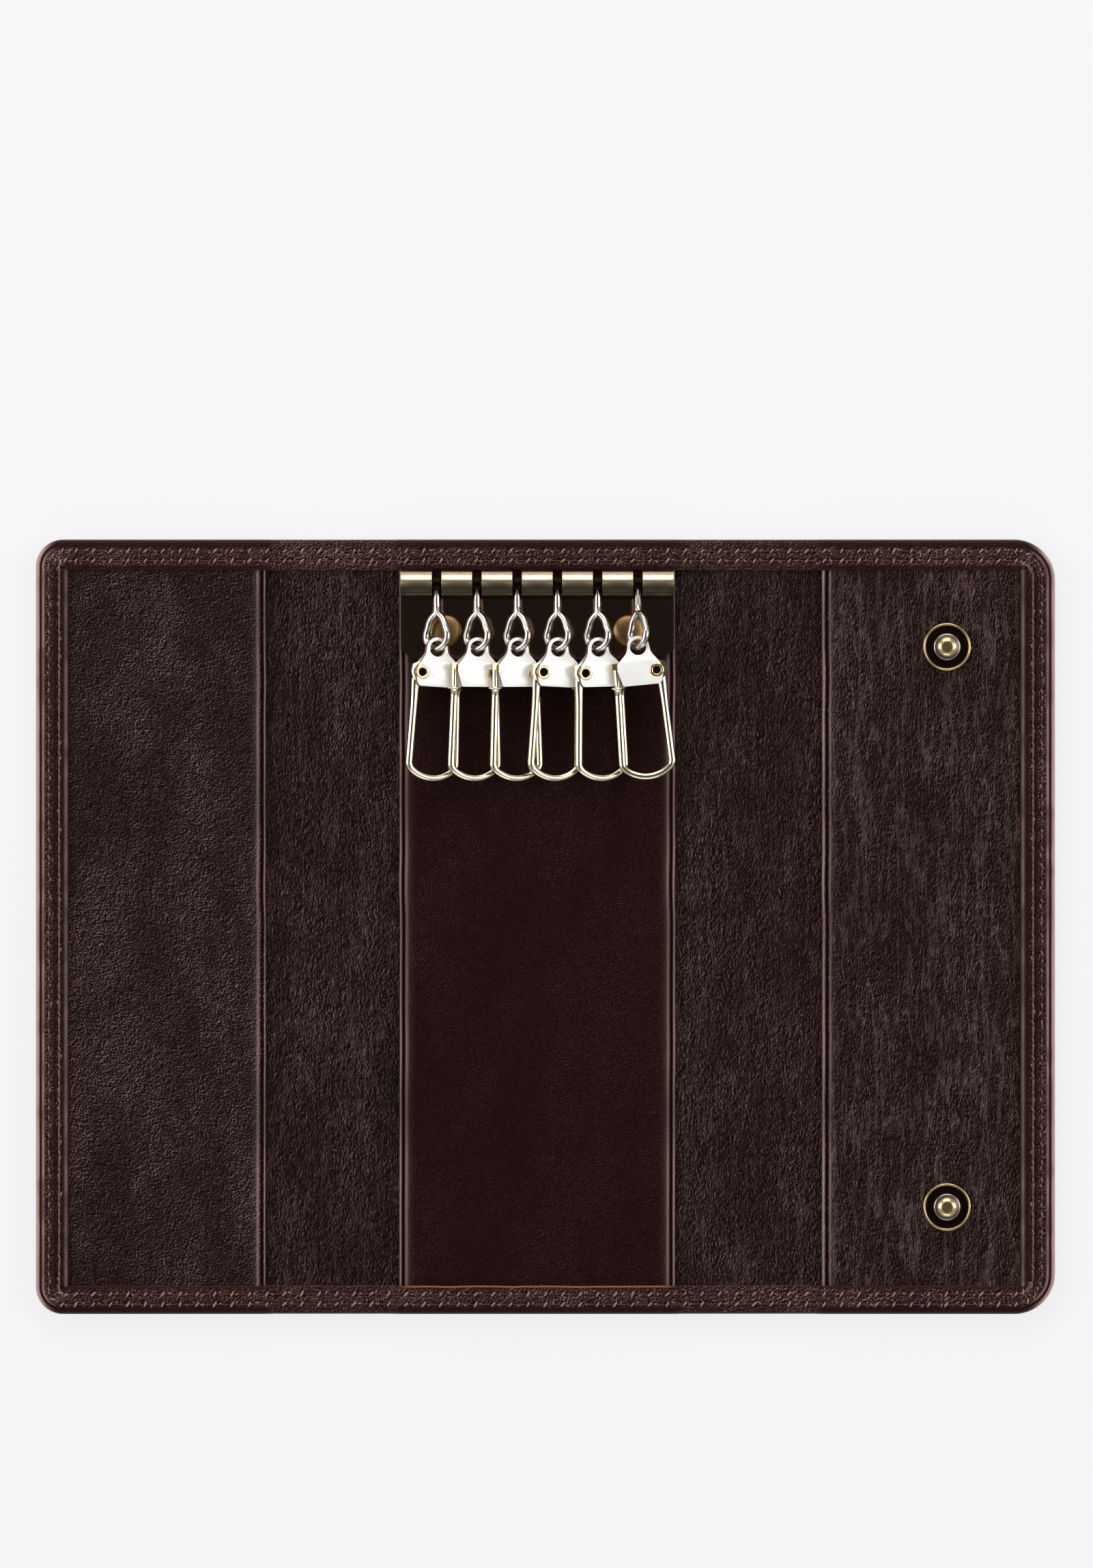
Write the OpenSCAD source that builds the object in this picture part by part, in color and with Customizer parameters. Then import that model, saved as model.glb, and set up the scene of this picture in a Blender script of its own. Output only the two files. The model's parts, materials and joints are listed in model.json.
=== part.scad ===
// Tri-fold leather key case with a six-hook key rail, open and lying on its back.
// X runs across the three panels, Y runs up the case, Z rises from the table.
// The origin is the middle of the footprint at table level.
// The left flap closes first, and the right flap closes over it and snaps on.

/* [Leather panels] */
// Height of the case along Y
case_h = 113.5; // [112:0.5:135]
// Width of the left flap, which is also its pocket's width
left_flap_w = 33.7; // [31:0.1:40]
// Width of the left fold, between the left pocket and the centre panel
left_fold_w = 19.6; // [17:0.1:24]
// Width of the centre panel past each end of the key rail
rail_margin = 0.2; // [0.1:0.05:0.5]
// Width of the right fold, between the centre panel and the right pocket
right_fold_w = 21.5; // [19:0.1:26]
// Width of the right flap, which is also its pocket's width
right_flap_w = 34.2; // [32:0.1:40]
// Corner radius of the left flap
left_corner_r = 4; // [3.8:0.1:8]
// Corner radius of the right flap
right_corner_r = 6; // [3.8:0.1:9]

/* [Leather thicknesses] */
// Outer cover
cover_t = 1.1; // [1:0.05:1.3]
// Lining under the panels
lining_t = 0.7; // [0.7:0.05:0.9]
// Centre and pocket panels
panel_t = 1.0; // [1:0.05:1.3]
// Edge of the cover where it is skived and turned over the panels
hem_t = 0.7; // [0.5:0.05:0.9]
// Leather between the outer line of an edge and the panels inside it
edge_wall = 1.2; // [1.1:0.05:1.4]

/* [Turned edges] */
// Width turned over along the top
hem_top_w = 4.5; // [4:0.1:4.6]
// Width turned over along the bottom
hem_bottom_w = 4.2; // [4:0.1:6]
// Width turned over along the left side
hem_left_w = 4.9; // [4.1:0.1:7]
// Width turned over along the right side
hem_right_w = 5.2; // [4.1:0.1:7]

/* [Folds] */
// Height of the left fold when its flap is closed over the hooks
left_rise = 10.6; // [9.8:0.1:11.4]
// Turn at each of the four fold lines of a flap
fold_turn = 45; // [45]
// Hairline between neighbouring strips of a fold
fold_gap = 0.1; // [0.05:0.01:0.15]

/* [Key rail] */
// Length of the rail along X
rail_w = 40.0; // [39.6:0.1:40.2]
// Sheet that the rail is rolled from
rail_t = 0.5; // [0.4:0.05:0.55]
// Outside diameter of the rolled tube
tube_d = 3.85; // [3.7:0.05:3.9]
// Distance from the top edge of the case to the axis of the tube
rail_from_top = 6.55; // [6.5:0.05:7]
// Depth of the rail plate below the axis of the tube
rail_drop = 11.0; // [10.5:0.1:12]
// Width of the cut at each lower corner of the plate
rail_cut_w = 2.0; // [0.5:0.1:3]
// Height of the cut at each lower corner of the plate
rail_cut_h = 1.3; // [0.5:0.1:2]
// Distance between neighbouring hooks along the rail
hook_pitch = 5.88; // [5.8:0.01:5.95]
// Width of the slot for each link
slot_w = 1.35; // [1.3:0.05:1.5]
// Distance between the two rail rivets
rail_rivet_pitch = 26.8; // [26:0.1:28]
// Distance from the axis of the tube down to the rail rivets
rail_rivet_drop = 6.8; // [6:0.1:7]
// Head diameter of a rail rivet
rail_rivet_d = 4.7; // [4:0.1:5]
// Head height of a rail rivet
rail_rivet_h = 0.6; // [0.4:0.05:0.65]

/* [Link] */
// Diameter of the cross head that turns in the tube
head_d = 2.2; // [1.6:0.05:2.3]
// Length of the cross head
head_w = 4.4; // [3.5:0.1:5]
// Wire diameter of the stem
stem_d = 1.1; // [1:0.05:1.15]
// Wire diameter of the ring
ring_wire_d = 1.0; // [0.9:0.05:1.05]
// Distance from the axis of the tube to the top of the ring
stem_len = 4.1; // [3.6:0.1:4.3]
// Distance from the axis of the tube to the middle of the ring's lowest wire
link_len = 9.6; // [9.4:0.05:9.8]
// Width of the ring over the middle of its wire
ring_w = 3.8; // [3.6:0.1:4]
// Lift of the link from the leather
link_lift = 7; // [7:0.5:9]
// Turn of the ring about its stem, right side up
ring_turn = 35; // [33:1:38]
// Lift of the last link, which lies over its neighbour
end_link_lift = 14; // [13.5:0.5:16]
// Turn of the last link's ring
end_ring_turn = 52; // [50:1:56]

/* [Hook body] */
// Sheet thickness of the folded body
cheek_t = 0.35; // [0.3:0.01:0.36]
// Gap between the two cheeks
cheek_gap = 1.2; // [1.15:0.01:1.22]
// Radius of the hole for the link's ring
eye_r = 1.08; // [1.05:0.01:1.15]
// Radius of the head round that hole
body_head_r = 1.65; // [1.6:0.05:1.8]
// Distance from the hole to the lower edge of the cheeks
body_drop = 5.55; // [5.4:0.05:5.7]
// Widest half width, on the latch side
latch_half_w = 3.3; // [3.1:0.05:3.4]
// Half width of the lower edge, on the latch side
base_half_w = 2.65; // [2.4:0.05:2.9]
// Sideways distance from the hole to the rivet
rivet_x = 2.4; // [2.3:0.05:2.5]
// Distance from the hole down to the rivet
rivet_drop = 3.55; // [3.4:0.05:3.7]
// Tilt of the five shingled bodies, left side up
body_tilt = 22; // [22:0.5:24]

/* [Hook rivet] */
// Radius of the barrel, on which the key loop turns
barrel_r = 0.75; // [0.7:0.01:0.8]
// Radius of the flared ends
flare_r = 1.03; // [0.95:0.01:1.1]
// Height of a flared end over its cheek
flare_h = 0.12; // [0.08:0.01:0.13]
// Radius of the hole through the rivet
rivet_hole_r = 0.55; // [0.45:0.01:0.6]

/* [Key loop] */
// Wire diameter
loop_wire_d = 1.1; // [1:0.05:1.15]
// Distance from the body's hole to the middle of the loop's lowest wire
loop_drop = 18.9; // [18:0.1:20]
// Half width of the loop at its foot, over the middle of the wire
foot_half_w = 3.65; // [3.4:0.05:3.8]
// Radius of the foot's two corners
foot_corner_r = 1.3; // [1:0.1:1.6]
// Radius of the shallow arc across the foot
foot_arc_r = 4.9; // [4.5:0.1:6]
// Sideways distance from the hole to the riveted leg
pivot_leg_x = 3.0; // [2.9:0.05:3.1]
// Sideways distance from the hole to the latched leg
latch_leg_x = 3.5; // [3.4:0.05:3.6]
// Thickness of the flattened loop ends between the cheeks
flat_t = 1.0; // [0.9:0.01:1.05]
// Outer radius of the flattened end round the rivet
flat_r = 1.5; // [1.4:0.05:1.6]
// Radial clearance of the loop on the rivet
loop_clear = 0.05; // [0.03:0.01:0.08]

/* [Snap fasteners] */
// Distance from the right edge of the case to the studs
snap_from_edge = 15.9; // [13:0.1:17]
// Distance from the top and bottom edges of the case to the studs
snap_from_end = 15.75; // [14:0.25:20]
// How far the caps and sockets stand out of the cover
snap_proud = 0.3; // [0.25:0.01:0.35]
// Diameter of the outside cap
cap_d = 9.4; // [8:0.1:11]
// Thickness of the outside cap
cap_t = 1.0; // [0.9:0.05:1.05]
// Diameter of the stud's flange
stud_flange_d = 7.0; // [6:0.1:8]
// Thickness of the stud's flange
stud_flange_t = 0.4; // [0.35:0.05:0.5]
// Height of the whole stud over the panel
stud_h = 1.8; // [1.75:0.01:1.85]
// Diameter of the stud's bead
stud_d = 2.9; // [2.8:0.05:2.95]
// Diameter of the socket's flange
socket_d = 7.4; // [6.5:0.1:8.5]
// Radial clearance of the stud in the socket
socket_clear = 0.17; // [0.12:0.01:0.2]

/* [Hidden] */

$fn = 48;
// Overrun that carries every cut past the face it opens
cut = 1;

// Levels, from the table up
z_cover = snap_proud;
z_lining = z_cover + cover_t;
z_panel = z_lining + lining_t;
z_top = z_panel + panel_t;
z_fold_line = z_panel + hem_t;

// Places across the case
centre_w = rail_w + 2 * rail_margin;
snap_pitch = case_h - 2 * snap_from_end;
case_w = left_flap_w + left_fold_w + centre_w + right_fold_w + right_flap_w;
x_left = -case_w / 2;
x_left_pocket = x_left + left_flap_w;
x_centre_left = x_left_pocket + left_fold_w;
x_centre_right = x_centre_left + centre_w;
x_right = case_w / 2;
x_right_pocket = x_right - right_flap_w;
y_edge = case_h / 2;

// Each fold has three stiff strips between four fold lines, centred in the fold's leather.
// When all four lines turn alike, the strips rise by this many strip lengths and close
// exactly over the first line.
rise_share = sin(fold_turn) + sin(2 * fold_turn) + sin(3 * fold_turn);
stud_rim_h = 0.15;
snap_play = 0.1;
stud_seat_z = z_top + stud_flange_t + stud_rim_h + snap_play;
right_rise = left_rise + stud_seat_z;
left_strip = left_rise / rise_share;
right_strip = right_rise / rise_share;
left_fold_x = (x_left_pocket + x_centre_left) / 2;
right_fold_x = (x_centre_right + x_right_pocket) / 2;
function left_line(n) = left_fold_x + (2 - n + 0.5) * left_strip;
function right_line(n) = right_fold_x + (n - 2 - 0.5) * right_strip;
// How far each flap reaches in from its outer edge, to the last fold line
left_reach = left_line(4) - fold_gap / 2 - x_left;
right_reach = x_right - right_line(4) - fold_gap / 2;

// Snap fasteners: the studs' rim, play and bead, and where the closed flaps bring them
stud_rim_w = 0.35;
stud_collar_r = 1.95;
stud_collar_h = 0.2;
stud_neck_r = 1.25;
stud_tip_r = 0.8;
stud_bead_z = 0.4;
snap_x = x_right - snap_from_edge;
socket_x = left_line(1) + left_line(4) - (right_line(1) + right_line(4) - snap_x);
shank_r = 0.95;
shank_clear = 0.05;
shank_rise = 0.9;
cap_round_r = 0.5;
recess_clear = 0.05;
socket_flange_t = 0.7;
socket_bore_r = stud_d / 2 + socket_clear;
socket_bore_h = stud_h - stud_flange_t + snap_proud / 3;
socket_wall = 0.68;
barrel_out_r = socket_bore_r + socket_wall;
socket_web = 0.35;
socket_h = socket_bore_h + socket_web;
spring_d = 0.35;
spring_r = stud_neck_r + 0.15 * spring_d + spring_d / 2;
spring_z = stud_neck_r * 0.24;
spring_arc = 320;
groove_clear = 0.04;
post_disc_r = 2.9;
post_disc_t = z_panel - socket_h;
post_pin_r = 0.8;
post_pin_clear = 0.05;

// Rail
rail_x = (x_centre_left + x_centre_right) / 2;
rail_y = y_edge - rail_from_top;
rail_z = z_top + tube_d / 2;
bore_r = tube_d / 2 - rail_t;
seam_gap = 0.2;
rail_rivet_shank_r = 1.05;
rail_rivet_tail_r = 1.8;
rail_rivet_tail_t = 0.3;
rail_rivet_clear = 0.05;
rail_rivet_y = rail_y - rail_rivet_drop;
rail_rivet_dome_r = (pow(rail_rivet_d / 2, 2) + pow(rail_rivet_h, 2)) / (2 * rail_rivet_h);
hook_count = 6;

// How each hook lies: the side of its rivet and the lean of its body, from the left
hook_side = [-1, 1, 1, -1, -1, 1];
hook_lean = [-3.2, -0.5, 0.5, -2.5, 1.5, 5.5];
function is_end(i) = i == hook_count - 1;
function hook_x(i) = rail_x + (i - (hook_count - 1) / 2) * hook_pitch;
function lift_of(i) = is_end(i) ? end_link_lift : link_lift;
function turn_of(i) = is_end(i) ? end_ring_turn : ring_turn;
function tilt_of(i) = is_end(i) ? 0 : body_tilt;

// Hook body and key loop
head_half_t = cheek_t;
cheek_out = cheek_gap / 2 + cheek_t;
flare_start = body_head_r * 0.75;
flare_end = body_head_r * 1.15;
shoulder_drop = rivet_drop * 0.64;
latch_edge_drop = rivet_drop * 0.93;
rivet_corner_r = 0.95;
rivet_fit = 0.02;
ear_x = flat_r * 0.93;
ear_r = flat_r * 1.08;
latch_top = shoulder_drop - 0.15 * rivet_drop * 0.3;
latch_block_w = 1.05;
latch_block_h = 0.95;
latch_neck_r = 0.42;
collar_r = 0.95;
collar_h = 0.2;
collar_cone_h = 0.6;
collar_top = body_drop + 0.05 * collar_r;
cone_end_share = 0.42;

// Facets of the bent wires
wire_sides = 10;
ring_steps = 10;
corner_steps = 4;
foot_steps = 10;
stem_end = 0.2 * stem_d;

leather_brown = [0.17, 0.11, 0.10];
leather_panel = [0.13, 0.07, 0.06];
leather_inner = [0.22, 0.15, 0.12];
polished = [0.80, 0.76, 0.66];
bright = [0.86, 0.86, 0.84];
brass = [0.60, 0.47, 0.28];

// Half round outer line of a turned edge, with its slot for what the edge holds
module nose_profile(held) {
    total = cover_t + held + hem_t;
    difference() {
        intersection() {
            translate([total / 2, total / 2]) circle(r = total / 2);
            square([total / 2, total]);
        }
        translate([edge_wall, cover_t]) square([total, held]);
    }
}

// Straight turned edge along +X, its outer line on y = 0 and its leather on the +y side
module edge_run(run, width, held) {
    total = cover_t + held + hem_t;
    translate([0, 0, z_cover]) {
        rotate([90, 0, 90]) linear_extrude(run) nose_profile(held);
        translate([0, total / 2, total - hem_t]) cube([run, width - total / 2, hem_t]);
    }
}

// Both turned edges of a stretch of the cover from x0 to x1, with the cover between them
module cover_stretch(x0, x1, held) {
    total = cover_t + held + hem_t;
    translate([x0, total / 2 - y_edge, z_cover])
        cube([x1 - x0, case_h - total, cover_t]);
    translate([x0, -y_edge, 0]) edge_run(x1 - x0, hem_bottom_w, held);
    translate([x0, y_edge, 0]) mirror([0, 1, 0]) edge_run(x1 - x0, hem_top_w, held);
}

// Outline of a flap: outer edge on x = 0 with two round corners, drawn in by inset
module flap_outline(flap_w, corner_r, inset) {
    r = corner_r - inset;
    half = y_edge - inset;
    translate([inset + r, -half]) square([flap_w - inset - r, 2 * half]);
    translate([inset, r - half]) square([r, 2 * (half - r)]);
    for (side = [-1, 1]) translate([inset + r, side * (half - r)]) circle(r = r);
}

// Cover of a flap with three turned edges, and of its fold's leather as far as x1
module flap_cover(flap_w, corner_r, side_w, x1) {
    held = lining_t + panel_t;
    total = cover_t + held + hem_t;
    run = flap_w - corner_r;
    translate([0, 0, z_cover]) {
        linear_extrude(cover_t) flap_outline(flap_w, corner_r, total / 2);
        translate([0, 0, total - hem_t]) linear_extrude(hem_t) difference() {
            flap_outline(flap_w, corner_r, total / 2);
            translate([side_w, hem_bottom_w - y_edge])
                square([flap_w, case_h - hem_top_w - hem_bottom_w]);
        }
        for (side = [0, 1]) mirror([0, side, 0]) {
            translate([corner_r, -y_edge, 0])
                rotate([90, 0, 90]) linear_extrude(run) nose_profile(held);
            translate([corner_r, corner_r - y_edge, 0]) rotate([0, 0, 180])
                rotate_extrude(angle = 90) translate([corner_r, 0]) mirror([1, 0])
                    nose_profile(held);
        }
        translate([0, y_edge - corner_r, 0])
            rotate([90, 0, 0]) linear_extrude(case_h - 2 * corner_r) nose_profile(held);
    }
    cover_stretch(flap_w, x1, lining_t);
}

// Lining of a flap and of its fold's leather as far as x1
module flap_lining(flap_w, corner_r, x1) {
    translate([0, 0, z_lining]) linear_extrude(lining_t) {
        flap_outline(flap_w, corner_r, edge_wall);
        translate([flap_w, edge_wall - y_edge]) square([x1 - flap_w, case_h - 2 * edge_wall]);
    }
}

// Pocket panel of a flap
module flap_panel(flap_w, corner_r) {
    translate([0, 0, z_panel]) linear_extrude(panel_t)
        flap_outline(flap_w, corner_r, edge_wall);
}

// Places of the two flaps, each drawn with its outer edge on x = 0
module at_left_flap() {
    translate([x_left, 0, 0]) children();
}

module at_right_flap() {
    translate([x_right, 0, 0]) mirror([1, 0, 0]) children();
}

// The two heights at which the snap fasteners stand
module at_snaps(x) {
    for (side = [-1, 1]) translate([x, side * snap_pitch / 2, 0]) children();
}

module cover_centre() {
    color(leather_brown) {
        cover_stretch(x_centre_left, x_centre_right, lining_t + panel_t);
        cover_stretch(left_line(1) + fold_gap / 2, x_centre_left, lining_t);
        cover_stretch(x_centre_right, right_line(1) - fold_gap / 2, lining_t);
    }
}

module cover_left() {
    color(leather_brown) difference() {
        at_left_flap() flap_cover(left_flap_w, left_corner_r, hem_left_w, left_reach);
        at_snaps(socket_x) {
            translate([0, 0, z_cover - cut])
                cylinder(r = socket_d / 2 + recess_clear,
                    h = cut + socket_flange_t - snap_proud);
            cylinder(r = barrel_out_r + recess_clear, h = z_lining + cut);
        }
    }
}

module cover_right() {
    color(leather_brown) difference() {
        at_right_flap() flap_cover(right_flap_w, right_corner_r, hem_right_w, right_reach);
        at_snaps(snap_x) {
            translate([0, 0, z_cover - cut])
                cylinder(r = cap_d / 2 + recess_clear, h = cut + cap_t - snap_proud);
            cylinder(r = shank_r + shank_clear, h = z_lining + cut);
        }
    }
}

// Lining or panel of a stretch, which ends inside the turned edges
module sheet_stretch(x0, x1, z, t) {
    translate([x0, edge_wall - y_edge, z]) cube([x1 - x0, case_h - 2 * edge_wall, t]);
}

module lining_centre() {
    color(leather_inner)
        sheet_stretch(left_line(1) + fold_gap / 2, right_line(1) - fold_gap / 2, z_lining,
            lining_t);
}

module lining_left() {
    color(leather_inner) difference() {
        at_left_flap() flap_lining(left_flap_w, left_corner_r, left_reach);
        at_snaps(socket_x) {
            cylinder(r = barrel_out_r + recess_clear, h = z_panel + cut);
            translate([0, 0, socket_h])
                cylinder(r = post_disc_r + recess_clear, h = post_disc_t + cut);
        }
    }
}

module lining_right() {
    color(leather_inner) difference() {
        at_right_flap() flap_lining(right_flap_w, right_corner_r, right_reach);
        at_snaps(snap_x) cylinder(r = shank_r + shank_clear, h = z_panel + cut);
    }
}

module centre_panel() {
    color(leather_panel) difference() {
        sheet_stretch(x_centre_left, x_centre_right, z_panel, panel_t);
        for (side = [-1, 1])
            translate([rail_x + side * rail_rivet_pitch / 2, rail_rivet_y, z_panel]) {
                translate([0, 0, -cut])
                    cylinder(r = rail_rivet_shank_r + rail_rivet_clear,
                        h = panel_t + 2 * cut);
                translate([0, 0, -cut])
                    cylinder(r = rail_rivet_tail_r + rail_rivet_clear,
                        h = cut + rail_rivet_tail_t);
            }
    }
}

module left_pocket() {
    color(leather_brown) at_left_flap() flap_panel(left_flap_w, left_corner_r);
}

module right_pocket() {
    color(leather_brown) difference() {
        at_right_flap() flap_panel(right_flap_w, right_corner_r);
        at_snaps(snap_x) cylinder(r = shank_r + shank_clear, h = z_top + cut);
    }
}

// Stiff strips of the folds: the cover with its turned edges, and the lining on it
module fold_cover(x0, x1) {
    color(leather_brown) cover_stretch(x0 + fold_gap / 2, x1 - fold_gap / 2, lining_t);
}

module fold_lining(x0, x1) {
    color(leather_inner)
        sheet_stretch(x0 + fold_gap / 2, x1 - fold_gap / 2, z_lining, lining_t);
}

// Plate and rolled tube in one sheet, slotted for the six links
module key_rail() {
    half = rail_w / 2;
    color(polished) translate([rail_x, rail_y, rail_z]) difference() {
        union() {
            rotate([90, 0, 90]) translate([0, 0, -half])
                linear_extrude(rail_w) circle(d = tube_d);
            translate([0, 0, -tube_d / 2]) linear_extrude(rail_t)
                polygon([[-half, 0], [-half, rail_cut_h - rail_drop],
                    [rail_cut_w - half, -rail_drop], [half - rail_cut_w, -rail_drop],
                    [half, rail_cut_h - rail_drop], [half, 0]]);
        }
        rotate([90, 0, 90]) translate([0, 0, -half - cut])
            linear_extrude(rail_w + 2 * cut) circle(r = bore_r);
        translate([-half - cut, -tube_d, -bore_r])
            cube([rail_w + 2 * cut, tube_d, seam_gap]);
        for (i = [0 : hook_count - 1])
            translate([hook_x(i) - rail_x - slot_w / 2, -tube_d, seam_gap - bore_r])
                cube([slot_w, 2 * tube_d, 2 * tube_d]);
        for (side = [-1, 1])
            translate([side * rail_rivet_pitch / 2, -rail_rivet_drop, -tube_d])
                cylinder(r = rail_rivet_shank_r + rail_rivet_clear, h = tube_d);
    }
}

// Domed rivet that clamps the rail plate to the centre panel
module rail_rivet(side) {
    color(brass)
        translate([rail_x + side * rail_rivet_pitch / 2, rail_rivet_y, z_panel]) {
            cylinder(r = rail_rivet_tail_r, h = rail_rivet_tail_t);
            cylinder(r = rail_rivet_shank_r, h = panel_t + rail_t + rail_rivet_h / 2);
            translate([0, 0, panel_t + rail_t]) intersection() {
                translate([0, 0, rail_rivet_h - rail_rivet_dome_r])
                    sphere(r = rail_rivet_dome_r, $fn = 96);
                cylinder(d = rail_rivet_d, h = rail_rivet_h);
            }
        }
}

// Frame of one link: origin on the tube's axis, the link lies along -Y
module link_place(i) {
    translate([hook_x(i), rail_y, rail_z]) rotate([-lift_of(i), 0, 0]) children();
}

// Frame of one hook body: origin in its hole, with the body along -Y
module hook_place(i) {
    lift = lift_of(i);
    translate([hook_x(i), rail_y - link_len * cos(lift), rail_z + link_len * sin(lift)])
        rotate([0, tilt_of(i), 0]) rotate([0, 0, hook_lean[i]]) children();
}

// Points of a wire's middle line, each with its heading: an arc, turned left
function arc_points(centre, r, from, to, steps) = [
    for (k = [0 : steps])
        let (a = from + (to - from) * k / steps)
            [centre[0] + r * cos(a), centre[1] + r * sin(a), a + 90]
];

// Ring of points round one point of a wire's middle line
function wire_ring(p, r) = [
    for (j = [0 : wire_sides - 1])
        let (a = 360 * (j + 0.5) / wire_sides)
            [p[0] - r * cos(a) * sin(p[2]), p[1] + r * cos(a) * cos(p[2]), r * sin(a)]
];

// Round wire swept along a flat path of points and headings
module round_wire(path, d) {
    n = wire_sides;
    last = len(path) - 1;
    side_faces = [
        for (k = [0 : last - 1], j = [0 : n - 1])
            let (a = k * n + j, b = k * n + (j + 1) % n)
                each [[a, b + n, b], [a, a + n, b + n]]
    ];
    first_cap = [for (j = [0 : n - 1]) j];
    last_cap = [for (j = [n - 1 : -1 : 0]) last * n + j];
    polyhedron([for (p = path) each wire_ring(p, d / 2)],
        concat(side_faces, [first_cap, last_cap]));
}

// One half of the ring, from the stem down to its lowest point
module ring_half() {
    ring_r = ring_w / 2;
    centre = link_len - ring_r;
    spread = asin(ring_r / (centre - stem_len));
    round_wire(concat([[0, -stem_len, 270 - spread]],
        arc_points([0, -centre], ring_r, 180 - spread, 270, ring_steps)), ring_wire_d);
}

// Cross head, stem and pear ring of bent wire
module link(i) {
    color(polished) link_place(i) {
        rotate([0, 90, 0]) translate([0, 0, -head_w / 2]) cylinder(d = head_d, h = head_w);
        rotate([90, 0, 0]) cylinder(d = stem_d, h = stem_len + stem_end);
        rotate([0, -turn_of(i), 0]) {
            ring_half();
            mirror([1, 0, 0]) ring_half();
        }
    }
}

// Plan of a hook body, drawn with its rivet on the +x side
module body_plan() {
    circle(r = body_head_r);
    translate([rivet_x, -rivet_drop]) circle(r = rivet_corner_r);
    polygon([
        [-body_head_r * 0.87, body_head_r * 0.49], [-latch_half_w, -shoulder_drop],
        [-latch_half_w, -latch_edge_drop], [-base_half_w, -body_drop],
        [rivet_x + 0.4 * rivet_corner_r, -body_drop],
        [rivet_x + 0.95 * rivet_corner_r, -rivet_drop - 0.3 * rivet_corner_r],
        [rivet_x + 0.85 * rivet_corner_r, -rivet_drop + 0.5 * rivet_corner_r],
        [body_head_r * 0.97, body_head_r * 0.24]
    ]);
}

// Side view of a hook body: a sheet folded over at the head, pinched round the hole
module body_side() {
    inner = cheek_gap / 2;
    polygon([
        [body_head_r + cut, head_half_t], [-flare_start, head_half_t],
        [-flare_end, cheek_out], [-body_drop - cut, cheek_out],
        [-body_drop - cut, inner], [-flare_end, inner], [-flare_start - cheek_t, 0],
        [-flare_end, -inner], [-body_drop - cut, -inner],
        [-body_drop - cut, -cheek_out], [-flare_end, -cheek_out],
        [-flare_start, -head_half_t], [body_head_r + cut, -head_half_t]
    ]);
}

module hook_body(i) {
    color(bright) hook_place(i) mirror([hook_side[i] < 0 ? 1 : 0, 0, 0]) difference() {
        intersection() {
            translate([0, 0, -cheek_out]) linear_extrude(2 * cheek_out) body_plan();
            rotate([90, 0, 90]) translate([0, 0, -2 * latch_half_w])
                linear_extrude(4 * latch_half_w) body_side();
        }
        translate([0, 0, -cheek_out]) cylinder(r = eye_r, h = 2 * cheek_out);
        translate([rivet_x, -rivet_drop, -cheek_out - cut])
            cylinder(r = barrel_r + rivet_fit, h = 2 * (cheek_out + cut));
    }
}

// Tubular rivet through both cheeks, which carries the loop
module hook_rivet(i) {
    color(brass) hook_place(i)
        translate([hook_side[i] * rivet_x, -rivet_drop, 0]) difference() {
            union() {
                translate([0, 0, -cheek_out]) cylinder(r = barrel_r, h = 2 * cheek_out);
                for (side = [0, 1]) mirror([0, 0, side])
                    translate([0, 0, cheek_out]) cylinder(r = flare_r, h = flare_h);
            }
            translate([0, 0, -cheek_out - cut])
                cylinder(r = rivet_hole_r, h = 2 * (cheek_out + cut));
        }
}

// Middle line of the loop, drawn with its rivet on the +x side: down the latched leg,
// round the foot and up the riveted leg
function loop_path() =
    let (x = (pivot_leg_x - latch_leg_x) / 2, arc_y = foot_arc_r - loop_drop,
        reach = foot_arc_r - foot_corner_r, dx = foot_half_w - foot_corner_r,
        turn = asin(dx / reach), corner_y = arc_y - reach * cos(turn),
        latch = [-latch_leg_x, -collar_top - collar_h - collar_cone_h / 2],
        pivot = [pivot_leg_x, -rivet_drop - flat_r / 2],
        to_latch = latch - [x - dx, corner_y], to_pivot = pivot - [x + dx, corner_y],
        left = atan2(to_latch[1], to_latch[0]) + acos(foot_corner_r / norm(to_latch)),
        right = atan2(to_pivot[1], to_pivot[0]) - acos(foot_corner_r / norm(to_pivot)))
        concat([[latch[0], latch[1], left + 90]],
            arc_points([x - dx, corner_y], foot_corner_r, left, 270 - turn, corner_steps),
            [for (k = [1 : foot_steps - 1])
                arc_points([x, arc_y], foot_arc_r, 270 - turn, 270 + turn, foot_steps)[k]],
            arc_points([x + dx, corner_y], foot_corner_r, 270 + turn, 360 + right,
                corner_steps),
            [[pivot[0], pivot[1], right + 90]]);

// Wire loop that holds a key, drawn with its rivet on the +x side
module key_loop(i) {
    color(polished) hook_place(i) mirror([hook_side[i] < 0 ? 1 : 0, 0, 0]) {
        difference() {
            union() {
                translate([rivet_x, -rivet_drop, -flat_t / 2]) {
                    cylinder(r = flat_r, h = flat_t);
                    linear_extrude(flat_t) intersection() {
                        square([ear_x, ear_r]);
                        circle(r = ear_r);
                    }
                }
                round_wire(loop_path(), loop_wire_d);
            }
            translate([rivet_x, -rivet_drop, -flat_t])
                cylinder(r = barrel_r + loop_clear, h = 2 * flat_t);
        }
        translate([-latch_leg_x, -collar_top, 0]) rotate([90, 0, 0]) {
            cylinder(r = collar_r, h = collar_h);
            translate([0, 0, collar_h])
                cylinder(r1 = collar_r, r2 = loop_wire_d * cone_end_share,
                    h = collar_cone_h);
            translate([0, 0, latch_top - collar_top])
                cylinder(r = latch_neck_r, h = collar_top - latch_top);
        }
        translate([-latch_leg_x - latch_block_w / 2, -latch_top - latch_block_h, -flat_t / 2])
            cube([latch_block_w, latch_block_h, flat_t]);
    }
}

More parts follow.
